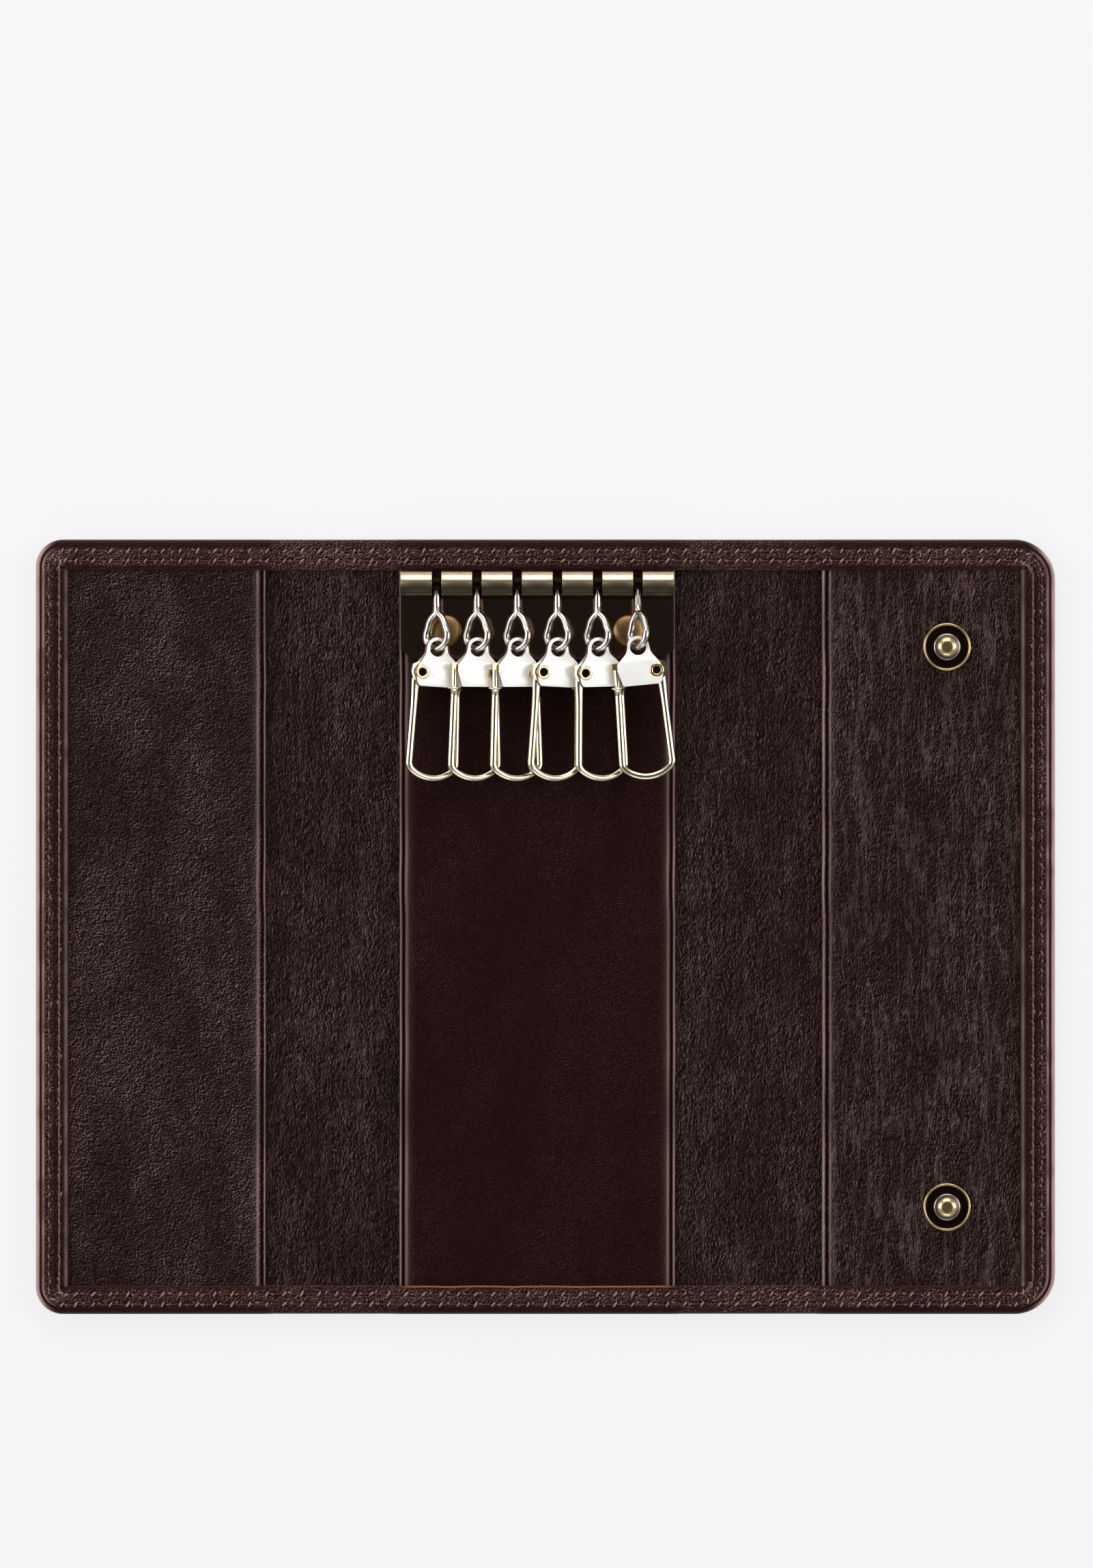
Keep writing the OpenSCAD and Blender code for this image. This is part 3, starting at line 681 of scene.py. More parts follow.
def flap_run(x_cut, x_edge, corner_r):
    """Top, side and bottom edge of a flap, from its cut at the top to its cut at the bottom."""
    way = math.copysign(1.0, x_edge - x_cut)
    bend = x_edge - way * corner_r
    flat = abs(bend - x_cut)
    quarter = math.pi * corner_r / 2
    straight = 2 * (Y_EDGE - corner_r)
    marks = np.cumsum([0, flat, quarter, straight, quarter, flat])
    s = np.concatenate([*(even_steps(a, b)[:-1] for a, b in zip(marks, marks[1:])), marks[-1:]])
    turn1 = np.clip((s - marks[1]) / quarter, 0, 1)
    turn2 = np.clip((s - marks[3]) / quarter, 0, 1)
    a = (turn1 + turn2) * math.pi / 2
    down = np.clip(s - marks[2], 0, straight)
    x = x_cut + way * np.clip(s, 0, flat) + way * corner_r * np.sin(a)
    x = x - way * np.clip(s - marks[4], 0, flat)
    y = Y_EDGE - corner_r * (1 - np.cos(turn1 * math.pi / 2)) - down
    y = y - corner_r * np.sin(turn2 * math.pi / 2)
    # the stitches keep step with the straight edges at both cuts
    pitch = stitch_pitch()
    first = math.ceil(x_cut * way / pitch)
    lead = abs(first * pitch - x_cut * way)
    count = round((marks[-1] - 2 * lead) / pitch)
    phase = first + (s - lead) / (marks[-1] - 2 * lead) * count
    along = np.where(s < marks[-1] / 2, turn1, 1 - turn2)
    corner = np.sin(np.pi * turn1) + np.sin(np.pi * turn2)
    pleat = corner * np.sin(2 * np.pi * PLEATS * (turn1 + turn2) + 0.8 * np.sin(5 * a))
    side = ease(0.15, 0.85, along)
    return Run(np.column_stack([x, y]), phase, x_edge > 0, side, pleat, corner)


def hem_relief(run, k, d):
    """Height over the plain top of the turned edge, at points k and distances d from the edge."""
    x, y = (run.outer[k] + run.inward[k] * d[:, None]).T
    fold = in_folds(x)
    hole = bump(run.phase[k], np.round(run.phase[k]), HOLE_SHARE)
    swell = np.cos(2 * np.pi * run.phase[k])
    z = grains(x, y, *HEM_GRAIN) + fold * grains(x, y, *FOLD_GRAIN) + grains(x, y, HEM_WAVES)
    for row in run.rows[k].T:
        z = z - (ROW_GROOVE[0] + FOLD_GROOVE * fold) * bump(d, row, ROW_GROOVE[1])
        z = z - NEEDLE_HOLE[0] * hole * bump(d, row, NEEDLE_HOLE[1])
        z = z - ROW_SWELL[0] * swell * bump(d, row, ROW_SWELL[1])
    z = z + ROW_RIB[0] * bump(d, run.rows[k].mean(axis=1), ROW_RIB[1])
    height, place, wide = SIDE_RIB
    z = z + run.side[k] * (bells(d, *SIDE_LINES) + height * bump(d, run.width[k] - place, wide))
    z = z + PLEAT_HEIGHT * run.pleat[k] * ease(*PLEAT_REACH, d)
    return z - CORNER_SINK * run.corner[k] * ease(*CORNER_REACH, d) - HEM_LOWER


def rubbed_and_lit(run, k, d, lines, inside):
    """Rubbed lines with painted highlight and shade across the turned edge, and one placed from
    its inner edge.
    """
    height, place, wide = inside
    return bells(d, *lines) + height * bump(d, run.width[k] - place, wide)


def hem_wear_and_painted_light(run, k, d, xy):
    """Light and dark lines along the turned edge, rubbed and painted, and how strong its grain is.
    """
    side, corner = run.side[k], run.corner[k]
    x, y = xy.T
    fold = in_folds(x)
    patchy = 0.75 + grains(x, y, (0.35, 2.1, 2.1, 91))
    # painted highlight on the nose and the beads, painted shade in the groove, with rubbed wear
    wear_and_painted_light = side * rubbed_and_lit(run, k, d, SIDE_WEAR_AND_PAINTED_LIGHT, SIDE_WEAR_AND_PAINTED_LIGHT_INSIDE) * patchy
    ends = rubbed_and_lit(run, k, d, [END_WEAR_AND_PAINTED_LIGHT], END_WEAR_AND_PAINTED_LIGHT_INSIDE)
    # the pleats' tops are painted lighter, rubbed and lit
    ends = ends + 0.45 * np.clip(run.pleat[k], 0, 1) ** 2 * ease(0.8, 1.8, d)
    wear_and_painted_light = wear_and_painted_light + (1 - side) * ends
    # the grain is strong under the stitches and weak on the rounded borders
    band = ease(1.0, 1.5, d) * (1 - ease(3.5, 4.1, d))
    band_side = ease(1.2, 1.6, d) * (1 - ease(2.3, 2.8, d))
    band_side = band_side + 0.5 * ease(2.9, 3.2, d) * (1 - ease(3.7, 4.0, d))
    grain = (1 - side) * (0.10 + 1.05 * band) + side * (0.12 + 0.9 * band_side)
    grain = grain + corner * 0.9 * ease(1.4, 2.2, d)
    grain = grain * (1 - fold) + fold * (0.75 + 0.65 * band)
    return wear_and_painted_light, np.where(d < 0, OUTER_GRAIN, grain)


# Stretches across the turned edge, from below it round to the lining
BELOW, ROUND, TOP, EDGE, DROP = range(5)
BELOW_POINTS, ROUND_POINTS, TOP_POINTS, EDGE_POINTS = 4, 15, 32, 6


def hem_strip(piece, run):
    """Underside, rounded outer line, top and inner edge of a stretch of the turned edge."""
    across = [(BELOW, d) for d in np.linspace(UNDER, NOSE, BELOW_POINTS)[:-1]]
    across += [(ROUND, a) for a in np.radians(np.linspace(-90, 90, ROUND_POINTS))]
    across += [(TOP, t) for t in np.linspace(0, 1, TOP_POINTS)[1:]]
    across += [(EDGE, a) for a in np.radians(np.linspace(0, 90, EDGE_POINTS)[1:])]
    across += [(DROP, t) for t in (0.5, 1.0)]
    kinds, amounts = np.array(across).T

    def place(u, v):
        k, j = u.astype(int), v.astype(int)
        kind, t = kinds[j], amounts[j]
        stretch = [kind == BELOW, kind == ROUND, kind == TOP, kind == EDGE]
        width = run.width[k] + 0.05 * noise(run.phase[k] * 1.7, run.side[k] * 3, 8)
        limit = width - HEM_EDGE
        d = np.select(
            stretch,
            [t, NOSE * (1 - np.cos(t)), NOSE + (limit - NOSE) * t, limit + HEM_EDGE * np.sin(t)],
            width + 0.02,
        )
        xy = run.outer[k] + run.inward[k] * d[:, None]
        high = hem_top(run.outer[k, 0])
        relief = hem_relief(run, k, d) * ease(0.1, 0.55, d)
        middle, half = (high + Z_OUTSIDE) / 2, (high - Z_OUTSIDE) / 2
        low_end = high + relief - EDGE_DROP
        z = np.select(
            stretch,
            [
                np.full(len(k), Z_OUTSIDE),
                middle + half * np.sin(t) + relief * (t > 0) * np.sin(np.clip(t, 0, 2)),
                high + relief,
                high + relief - EDGE_DROP * (1 - np.cos(t)),
            ],
            low_end + (Z_LINING - LINING_SINK - low_end) * t,
        )
        # the cut edge shows under the centre panel
        raw = ease(X_CENTRE_LEFT - 0.5, X_CENTRE_LEFT + 2, xy[:, 0])
        raw = raw * (1 - ease(X_CENTRE_RIGHT - 2, X_CENTRE_RIGHT + 0.5, xy[:, 0]))
        raw = np.where(kind >= EDGE, raw, 0.0) * ~run.top[k]
        wear_and_painted_light, grain = hem_wear_and_painted_light(run, k, np.where(kind == BELOW, -UNDER, d), xy)
        # the painted light stays off the underside and the lower half of the nose
        wear_and_painted_light = wear_and_painted_light * np.select(stretch[:2], [0.0 * t, ease(-0.25, 0.35, t)], 1)
        return np.column_stack([xy, z]), np.column_stack([raw, wear_and_painted_light, grain])

    piece.sheet(np.arange(len(run.outer)), np.arange(len(kinds)), place, flip=run.flip)


# Grain of the lining in the folds, as above
LINING_GRAIN = (0.05, 0.55, 2.6, 11), (0.04, 1.6, 9, 12)
# Long creases: place, height and half width
CREASES = [
    (-36.6, -0.10, 0.30),
    (-33.1, 0.12, 0.45),
    (-31.2, -0.17, 0.28),
    (-30.2, 0.14, 0.40),
    (-27.3, -0.11, 0.30),
    (-24.6, 0.10, 0.50),
    (22.9, -0.10, 0.35),
    (26.6, 0.11, 0.45),
    (29.3, -0.17, 0.30),
    (30.4, 0.14, 0.40),
    (33.6, -0.11, 0.30),
    (37.0, 0.10, 0.55),
]
# The lining runs this far under the turned edges, in this many rows of points
LINING_UNDER, LINING_ROWS = 0.3, 170
OUTSIDE_ROWS = 60
# Height of the walls in the openings round caps and sockets
HOLE_WALL = 0.6


def lining_height(x, y):
    """Lining between the panels, with the creases that closing has left along the folds."""
    z = Z_LINING + in_folds(x) * grains(x, y, *LINING_GRAIN)
    for seed, (place, depth, wide) in enumerate(CREASES):
        wander = grains(0 * x, y, (0.5, 1, 14, 20 + seed), (0.15, 1, 3.5, 40 + seed))
        there = 0.65 + grains(0 * x, y, (0.35, 1, 11, 60 + seed))
        z = z + depth * there * bump(x, place + wander, wide)
    return z


def lining_sheet(piece, x0, x1):
    """Lining from x0 to x1, which runs a little way under the turned edges."""
    low, high = HEM_BOTTOM - Y_EDGE - LINING_UNDER, Y_EDGE - HEM_TOP + LINING_UNDER

    def place(x, y):
        return np.column_stack([x, y, lining_height(x, y)]), (0.0, 0.0, 1.0)

    piece.sheet(even_steps(x0, x1), np.linspace(low, high, LINING_ROWS), place, FOLD_LEATHER)


def outer_sheet(piece, x0, x1):
    """Outside face of the cover from x0 to x1."""

    def place(x, y):
        return np.column_stack([x, y, np.full(len(x), Z_OUTSIDE)]), (0.0, 0.0, OUTER_GRAIN)

    ys = np.linspace(UNDER - Y_EDGE, Y_EDGE - UNDER, OUTSIDE_ROWS)
    piece.sheet(even_steps(x0, x1), ys, place, flip=True)


def outer_plate(piece, run, holes):
    """Outside face of a flap, with short walls in the openings round its caps or sockets."""
    part = new_part()
    loops = [run.outer + run.inward * UNDER, *(circle(x, y, r, 64) for x, y, r in holes)]
    fill_loops(part, loops, Z_OUTSIDE)
    for face in part.faces:
        if face.normal.z > 0:
            face.normal_flip()
    inner = []
    for edge in part.edges:
        middle = (edge.verts[0].co + edge.verts[1].co) / 2
        near = any(math.hypot(middle.x - x, middle.y - y) < r + 0.1 for x, y, r in holes)
        if edge.is_boundary and near:
            inner.append(edge)
    grown = bmesh.ops.extrude_edge_only(part, edges=inner)
    for item in grown["geom"]:
        if isinstance(item, bmesh.types.BMVert):
            item.co.z += HOLE_WALL
    piece.add(part, outward=False, tint=lambda co: (0.0, 0.0, OUTER_GRAIN))


# ---------------------------------------------------------------- stitches

# How far the slanted stitches lean from the row, in degrees
TICK_LEAN, SIDE_TICK_LEAN, TICK_STRAY = 52.0, 14.0, 12.0
# How far the threads' middles lie under the top: at a hole, beside it, and between the holes
TICK_SINK, CURL_SINK, SPAN_SINK, DASH_SINK = 0.07, 0.06, 0.12, 0.09
# Keeps a stitch that falls on a cut on one side of it only
NUDGE = 1e-6


def thread_mesh(long, radius, arch, light, sides=5, steps=4):
    """A short thread along X that bows up in the middle and dips at its ends."""
    part = new_part()
    bmesh.ops.create_grid(part, x_segments=steps, y_segments=sides, size=1)
    tone = part.verts.layers.float_vector["tone"]
    for vert in part.verts:
        vert[tone] = (light, 0.0, 0.0)
        t, a = vert.co.x, (vert.co.y + 1) * math.pi
        thin = radius * (1 - 0.45 * t**4)
        vert.co = (
            t * long / 2,
            thin * math.cos(a),
            thin * math.sin(a) + arch * (1 - t * t) - radius * 0.5 * t * t,
        )
    close_tube(part)
    bmesh.ops.recalc_face_normals(part, faces=part.faces)
    return to_mesh(part, "thread")


def stitch_row(threads, run, row, seeds):
    """One row of stitches along a run: slanted ticks at each hole and a thread between."""
    order = np.argsort(run.phase)
    low, high_phase = run.phase.min(), run.phase.max()
    level = 3 if run.top[len(run.top) // 2] else 5

    def at(values, q):
        return np.interp(q, run.phase[order], values[order])

    def point(q, off=0.0):
        """Place, direction along the row, height and share of the side at a stitch number."""
        outer = Vector((at(run.outer[:, 0], q), at(run.outer[:, 1], q)))
        inward = Vector((at(run.inward[:, 0], q), at(run.inward[:, 1], q))).normalized()
        place = outer + inward * (at(run.rows[:, row], q) + off)
        high = float(hem_top(place.x))
        return place, math.atan2(-inward.x, inward.y), high, float(at(run.side, q))

    def lay(thread, place, z, turn, scale=1.0):
        spot = Matrix.Translation((place.x, place.y, z)) @ Matrix.Rotation(turn, 4, "Z")
        threads.append((seeds[thread], spot @ Matrix.Scale(scale, 4)))

    for q in range(math.ceil(low - NUDGE), math.floor(high_phase - NUDGE) + 1):
        rng = random.Random(q * 7 + row * 1009 + level)
        place, flow, high, side = point(q)
        stray = rng.uniform(-TICK_STRAY, TICK_STRAY)
        lean = math.radians(TICK_LEAN * (1 - side) + SIDE_TICK_LEAN * side + stray)
        z = high - TICK_SINK + rng.uniform(-0.02, 0.02)
        lay("side" if side > 0.5 else "tick", place, z, flow + lean, rng.uniform(0.85, 1.15))
        second = q + rng.uniform(0.26, 0.46)
        if second < high_phase:
            place, flow, high, side = point(second, rng.uniform(-0.2, 0.3))
            lean = math.radians(rng.uniform(-55, 75) * (1 - side) + rng.uniform(-14, 14) * side)
            lay("curl", place, high - CURL_SINK, flow + lean, rng.uniform(0.7, 1.1))
    for q in range(math.ceil(low - 0.5), math.floor(high_phase - 0.5 - NUDGE) + 1):
        place, flow, high, side = point(q + 0.5)
        plain = side > 0.5 and row == 1
        lay("dash" if plain else "span", place, high - (DASH_SINK if plain else SPAN_SINK), flow)
        # the same seam shows on the outside
        spot = Matrix.Translation((place.x, place.y, Z_OUTSIDE + 0.02))
        turned = Matrix.Rotation(flow, 4, "Z") @ Matrix.Rotation(math.pi, 4, "X")
        threads.append((seeds["dash"], spot @ turned))


def sew(piece, runs):
    """Puts both rows of stitches on the runs of a piece."""
    sewing = bpy.context.scene.key_case_sewing
    tick, thick = sewing.tick / MM, sewing.thickness / MM / 2
    # length, radius, arch and painted lightness of each kind of thread;
    # the lightness paints highlight on the raised ticks and shade on the spans
    seeds = {
        "tick": thread_mesh(tick, thick, 0.15, 1.0),
        "curl": thread_mesh(0.7 * tick, 0.8 * thick, 0.11, 0.7),
        "span": thread_mesh(2.1, 0.73 * thick, 0.06, 0.12),
        "side": thread_mesh(0.94 * tick, thick, 0.13, 0.5),
        "dash": thread_mesh(1.95, 1.1 * thick, 0.12, 0.36),
    }
    threads = []
    for run in runs:
        for row in (0, 1):
            stitch_row(threads, run, row, seeds)
    part = bmesh.new()
    for mesh, matrix in threads:
        before = len(part.verts)
        part.from_mesh(mesh)
        part.verts.ensure_lookup_table()
        bmesh.ops.transform(part, matrix=matrix, verts=part.verts[before:])
    piece.add(part, THREAD, outward=False)
    for mesh in seeds.values():
        bpy.data.meshes.remove(mesh)


# ---------------------------------------------------------------- leather pieces

# The cover's materials, in the order of its slots
LEATHERS = []
THREAD, FOLD_LEATHER = 1, 2
PANEL_LEATHERS = {}

# How far the lining runs under a pocket and under the centre panel
POCKET_UNDER, PANEL_UNDER = 2.0, 1.0
# Room round a cap or a socket in the cover
HOLE_ROOM = 0.05


def middle_of(node):
    """Middle, lowest and highest corner of a CAD node in millimetres."""
    low, high = cad_box(node)
    return (low + high) / 2, low, high


def build_flap(side, x_cut, x_edge, corner_r, x_pocket, fitting):
    """Leather of one flap, with openings for its two caps or sockets."""
    piece = Piece()
    run = flap_run(x_cut, x_edge, corner_r)
    hem_strip(piece, run)
    lining_sheet(piece, *sorted((x_cut, x_pocket + math.copysign(POCKET_UNDER, x_pocket))))
    holes = []
    for n in (1, 2):
        middle, low, high = middle_of(f"{fitting}_{n}")
        holes.append((middle.x, middle.y, (high.x - low.x) / 2 + HOLE_ROOM))
    outer_plate(piece, run, holes)
    sew(piece, [run])
    piece.finish(
        f"leather_{side}_flap", f"{side}_flap", LEATHERS,
        replaces=(f"cover_{side}", f"lining_{side}"),
    )


def build_straight(name, body, x0, x1, replaced, linings, blend=None):
    """Leather between two cuts, with its top and bottom hem and stretches of lining."""
    piece = Piece()
    runs = [straight_run(x0, x1, top) for top in (True, False)]
    for run in runs:
        hem_strip(piece, run)
    for stretch in linings:
        lining_sheet(piece, *stretch)
    outer_sheet(piece, x0, x1)
    sew(piece, runs)
    piece.finish(name, body, LEATHERS, replaces=replaced, blend=blend)


def build_back():
    """Leather behind the centre panel."""
    x0, x1 = LEFT_CUTS[0], RIGHT_CUTS[0]
    linings = (x0, X_CENTRE_LEFT + PANEL_UNDER), (X_CENTRE_RIGHT - PANEL_UNDER, x1)
    replaced = ("cover_centre", "lining_centre")
    build_straight("leather_centre", "centre", x0, x1, replaced, linings)


def build_folds():
    """Leather of both folds, in pieces that each span one fold line."""
    for side, marks in (("left", LEFT_CUTS), ("right", RIGHT_CUTS)):
        chain = ["centre", *(f"{side}_strip_{n}" for n in (1, 2, 3)), f"{side}_flap"]
        for n in range(4):
            replaced = ()
            if n < 3:
                replaced = (f"{side}_fold_{n + 1}", f"{side}_fold_lining_{n + 1}")
            x0, x1 = sorted(marks[n : n + 2])
            ends = [(x * MM, 0.0, Z_FOLD_HEM * MM) for x in marks[n : n + 2]]
            blend = (chain[n], chain[n + 1], *ends)
            name = f"leather_{side}_bend_{n + 1}"
            build_straight(name, None, x0, x1, replaced, [(x0, x1)], blend)


# Distances of the points beside a panel's open edge
NEAR_EDGE = [
    0.0, 0.02, 0.06, 0.12, 0.2, 0.28, 0.36, 0.44, 0.52, 0.6, 0.68, 0.78, 0.9, 1.02, 1.14, 1.26,
    1.4, 1.6, 1.85, 2.2, 2.6,
]
# Where the even points begin, their spacing, and the one distance beside a covered edge
NEAR_REACH, PANEL_STEP, COVERED_STEP = 2.9, 0.5, 1.2
# A panel's wall, how far it goes into the lining and under the turned edges, and its rows
PANEL_WALL, PANEL_SINK, PANEL_TUCK, PANEL_ROWS = 0.5, 0.02, 2.4, 300
# Waves of a panel's top, as above
PANEL_WAVES = (0.05, 7, 7, 72), (0.02, 2, 2, 73)

# Panels: name, body, CAD node, slot, leather, left and right end, whether each end is open, and
# bead, groove, ridge and the ridge's half width along the open edges
PANELS = (
    (
        "panel_centre", "centre", "centre_panel", "panel_leather", "centre",
        X_CENTRE_LEFT, X_CENTRE_RIGHT, (True, True), (0.36, 0.6, 1.05, 0.22),
    ),
    (
        "panel_left_pocket", "left_flap", "left_pocket", "pocket_leather", "left",
        X_LEFT + PANEL_TUCK, X_LEFT_POCKET, (False, True), (0.24, 0.5, 1.12, 0.2),
    ),
    (
        "panel_right_pocket", "right_flap", "right_pocket", "pocket_leather", "right",
        X_RIGHT_POCKET, X_RIGHT - PANEL_TUCK, (True, False), (0.45, 0.72, 1.2, 0.13),
    ),
)


def panel_section(x0, x1, opened):
    """Closed section of a panel along X: place, height and 1 for the top's points."""
    count = int((x1 - x0 - 2 * NEAR_REACH) / PANEL_STEP)
    near_left, near_right = (NEAR_EDGE if is_open else [0.0, COVERED_STEP] for is_open in opened)
    xs = [x0 + d for d in near_left]
    xs += list(np.linspace(x0 + NEAR_REACH, x1 - NEAR_REACH, count))
    xs += [x1 - d for d in reversed(near_right)]
    low, wall = Z_LINING - PANEL_SINK, Z_PANEL - PANEL_WALL
    around = [(x1, wall, 0.0), (x1, low, 0.0), (x0, low, 0.0), (x0, wall, 0.0)]
    return np.array([(x, Z_PANEL, 1.0) for x in xs] + around).T


def edge_relief(d, bead, groove, ridge, wide):
    """Bead, groove and ridge along a panel's open edge, at distance d from it."""
    lines = bells(d, (0.10, bead / 2, bead * 0.55), (-0.17, groove, 0.13), (0.13, ridge, wide))
    return lines - 0.22 * (1 - ease(0, 0.14, d))


def edge_wear_and_painted_light(d, bead, groove, ridge, wide):
    """Rubbed and painted light lines on the bead and the ridge, and painted shade in the groove.
    """
    light = bells(d, (0.85, bead / 2, bead * 0.42), (0.5, ridge, wide), (0.05, ridge + 0.4, 0.5))
    return light - 0.6 * bump(d, groove, 0.14)


def build_panel(name, body, node, slot, material, x0, x1, opened, marks):
    """A sewn-in panel from x0 to x1, under the turned edges at its top and bottom."""
    piece = Piece()
    xs, zs, live = panel_section(x0, x1, opened)
    ys = np.linspace(PANEL_TUCK - Y_EDGE, Y_EDGE - PANEL_TUCK, PANEL_ROWS)
    count = len(xs)

    def place(u, v):
        j = v.astype(int) % count
        x = xs[j] + live[j] * grains(0 * u, u, (0.06, 1, 6, 71))
        z = zs[j] + live[j] * grains(x, u, *PANEL_WAVES)
        wear_and_painted_light = 0 * z
        for distance, is_open in zip((xs[j] - x0, x1 - xs[j]), opened):
            if is_open:
                z = z + live[j] * edge_relief(distance, *marks)
                wear_and_painted_light = wear_and_painted_light + live[j] * edge_wear_and_painted_light(distance, *marks)
        wear_and_painted_light = wear_and_painted_light * (0.85 + grains(0 * u, u, (0.3, 1, 9, 75)))
        return np.column_stack([x, u, z]), np.column_stack([0 * z, wear_and_painted_light, 0 * z + 1])

    piece.sheet(ys, np.arange(count + 1), place, closed=True)
    piece.finish(name, body, [PANEL_LEATHERS[material]], replaces=(node,))


# ---------------------------------------------------------------- metal pieces

METALS = {}
HOOKS = range(1, 7)
# Tones that a metal's material reads
PLAIN, SILVER, BLACK = (0.0, 0.0, 0.0), (1.0, 0.0, 0.0), (0.0, 0.0, 1.0)
# Steps round a rounded corner, and the most of a side that it may take
CORNER_STEPS, CORNER_SHARE = 6, 0.48
# Pieces with fine edges keep those above this angle sharp
FINE_SHARP = 42


def rounded(points):
    """Outline with rounded corners; each point is x, y and the corner's radius."""
    out = []
    for k, (_, _, r) in enumerate(points):
        before, here, after = (Vector(points[(k + q) % len(points)][:2]) for q in (-1, 0, 1))
        if not r:
            out.append(tuple(here))
            continue
        to_a, to_b = (before - here).normalized(), (after - here).normalized()
        half = to_a.angle(to_b) / 2
        most = CORNER_SHARE * min((before - here).length, (after - here).length)
        reach = min(r / math.tan(half), most)
        r = reach * math.tan(half)
        centre = here + (to_a + to_b).normalized() * (r / math.sin(half))
        start, end = here + to_a * reach - centre, here + to_b * reach - centre
        turn = start.angle_signed(end)
        for q in range(CORNER_STEPS + 1):
            spin = Matrix.Rotation(-turn * q / CORNER_STEPS, 2)
            out.append(tuple(centre + spin @ start))
    return out


def turned(name, body, slot, metal_name, node, profile, spot, steps=72, tint=None):
    """A lathed piece that stands for one CAD node."""
    piece = Piece()
    piece.lathe(profile, spot, steps, tint)
    piece.finish(name, body, [METALS[metal_name]], replaces=(node,))


# Rail: radius of the tube, thickness of the sheet, width of the slots, and the tube's roll
TUBE_R, SHEET_T, SLOT_W = 1.925, 0.5, 1.35
ROLL_FROM, ROLL_TO, ROLL_POINTS = math.radians(-90), math.radians(231), 49
# Corners cut off the plate's foot: along X, along Y and their radius
FOOT_CUT_X, FOOT_CUT_Y, FOOT_ROUND = 2.0, 1.3, 0.5
# Radius of the rail rivets' tails
TAIL_R = 0.9


def tube_painted_reflection(co):
    """Painted reflection round the rail's tube: bright over the back, dark in front, a light line
    below.
    """
    y = co.x
    dark = 0.78 * (1 - ease(0.45, 0.62, y)) + 0.2 * (1 - ease(-1.0, 0.0, y))
    dark = dark - bells(y, (0.22, 0.12, 0.22), (0.6, -1.6, 0.10))
    return (0.0, 0.0, float(np.clip(dark, 0, 0.93)))


def build_rail():
    """Plate and rolled tube of the key rail, and its two domed rivets."""
    low, high = cad_box("key_rail")
    x0, x1, foot, z0 = low.x, high.x, low.y, low.z
    y_axis = joint_place("link_1_lift").y
    gaps = [joint_place(f"link_{n}_lift").x for n in HOOKS]
    ends = [x0, *(x + s * SLOT_W / 2 for x in gaps for s in (-1, 1)), x1]
    piece = Piece()
    # the tube is one sheet rolled up from the plate, over the back and down in front
    outer, inner = (
        [tuple(p) for p in arc_points(0, 0, r, ROLL_FROM, ROLL_TO, ROLL_POINTS - 1)]
        for r in (TUBE_R, TUBE_R - SHEET_T)
    )
    along_x = Matrix(((0, 0, 1, 0), (1, 0, 0, 0), (0, 1, 0, 0), (0, 0, 0, 1)))
    axis = Matrix.Translation((0, y_axis, z0 + TUBE_R)) @ along_x
    # the tube's tone paints its reflections into its colour
    for a, b in zip(ends[::2], ends[1::2]):
        piece.plate(outer + inner[::-1], a, b, axis, 0.07, segments=2, tint=tube_painted_reflection)
    plan = [
        (x0, y_axis, 0),
        (x0, foot + FOOT_CUT_Y, FOOT_ROUND),
        (x0 + FOOT_CUT_X, foot, FOOT_ROUND),
        (x1 - FOOT_CUT_X, foot, FOOT_ROUND),
        (x1, foot + FOOT_CUT_Y, FOOT_ROUND),
        (x1, y_axis, 0),
    ]
    base = z0 + SHEET_T
    # its rim faces take a lighter metal, a painted highlight along the plate's edge
    piece.plate(rounded(plan), z0, base, None, 0.24, material=1, rim=2)
    finishes = [METALS["rail"], METALS["plate"], METALS["rim"]]
    piece.finish("rail_sheet", "centre", finishes, replaces=("key_rail",), sharp=40)
    for n in (1, 2):
        node = f"rail_rivet_{n}"
        middle, low, high = middle_of(node)
        r, top, tail = (high.x - low.x) / 2, high.z - base, low.z - base
        profile = [(r * math.sin(t), top * math.cos(t)) for t in np.linspace(0, math.pi / 2, 14)]
        profile += [(r - 0.05, -0.06), (TAIL_R, -0.06), (TAIL_R, tail), (0, tail)]
        spot = Matrix.Translation((middle.x, middle.y, base))
        turned(f"rail_stud_{n}", "centre", "snap_metal", "dull", node, profile, spot, steps=64)


# Links: radius of the wire and of the ring, and the ring's turn out of the leather's plane
WIRE_R, RING_R = 0.5, 1.9
RING_TURN, END_RING_TURN = 35.0, 52.0
# Cross head inside the tube, as radius and height
CROSS_HEAD = [(0, -2.2), (0.9, -2.2), (1.1, -2.0), (1.1, 2.0), (0.9, 2.2), (0, 2.2)]
# Along a link: ends of its stem, where the two strands part and where the ring's sides point
STEM_FROM, STEM_TO, STEM_POINTS = -0.4, -4.75, 16
STRANDS_PART, RING_POINTS_AT = 4.25, 4.1
# How far the ring's shoulders bow out, and the points along a shoulder and round the ring
SHOULDER, SHOULDER_POINTS, RING_STEPS = 0.34, 12, 39


def link_frame(n):
    """Matrix of a link: origin on the tube's axis, the link along -Y; and its length."""
    axis = joint_place(f"link_{n}_lift")
    eye = joint_place(f"hook_{n}_swing")
    lift = math.atan2(eye.z - axis.z, axis.y - eye.y)
    return Matrix.Translation(axis) @ Matrix.Rotation(-lift, 4, "X"), (eye - axis).length


def stem_shade(co):
    """Dark painted at the top of a link's stem as shade, where it leaves the slot."""
    return (0.0, 0.0, float(ease(-1.5, -0.7, co.y)))


def shoulder(apex, end, t):
    """Point on the rounded shoulder from the stem's end to the ring."""
    line = end - apex
    outward = np.array([line[1], -line[0]]) / np.linalg.norm(line)
    outward = outward * math.copysign(1.0, outward[0] * line[0])
    return apex + line * t + outward * SHOULDER * math.sin(math.pi * t)


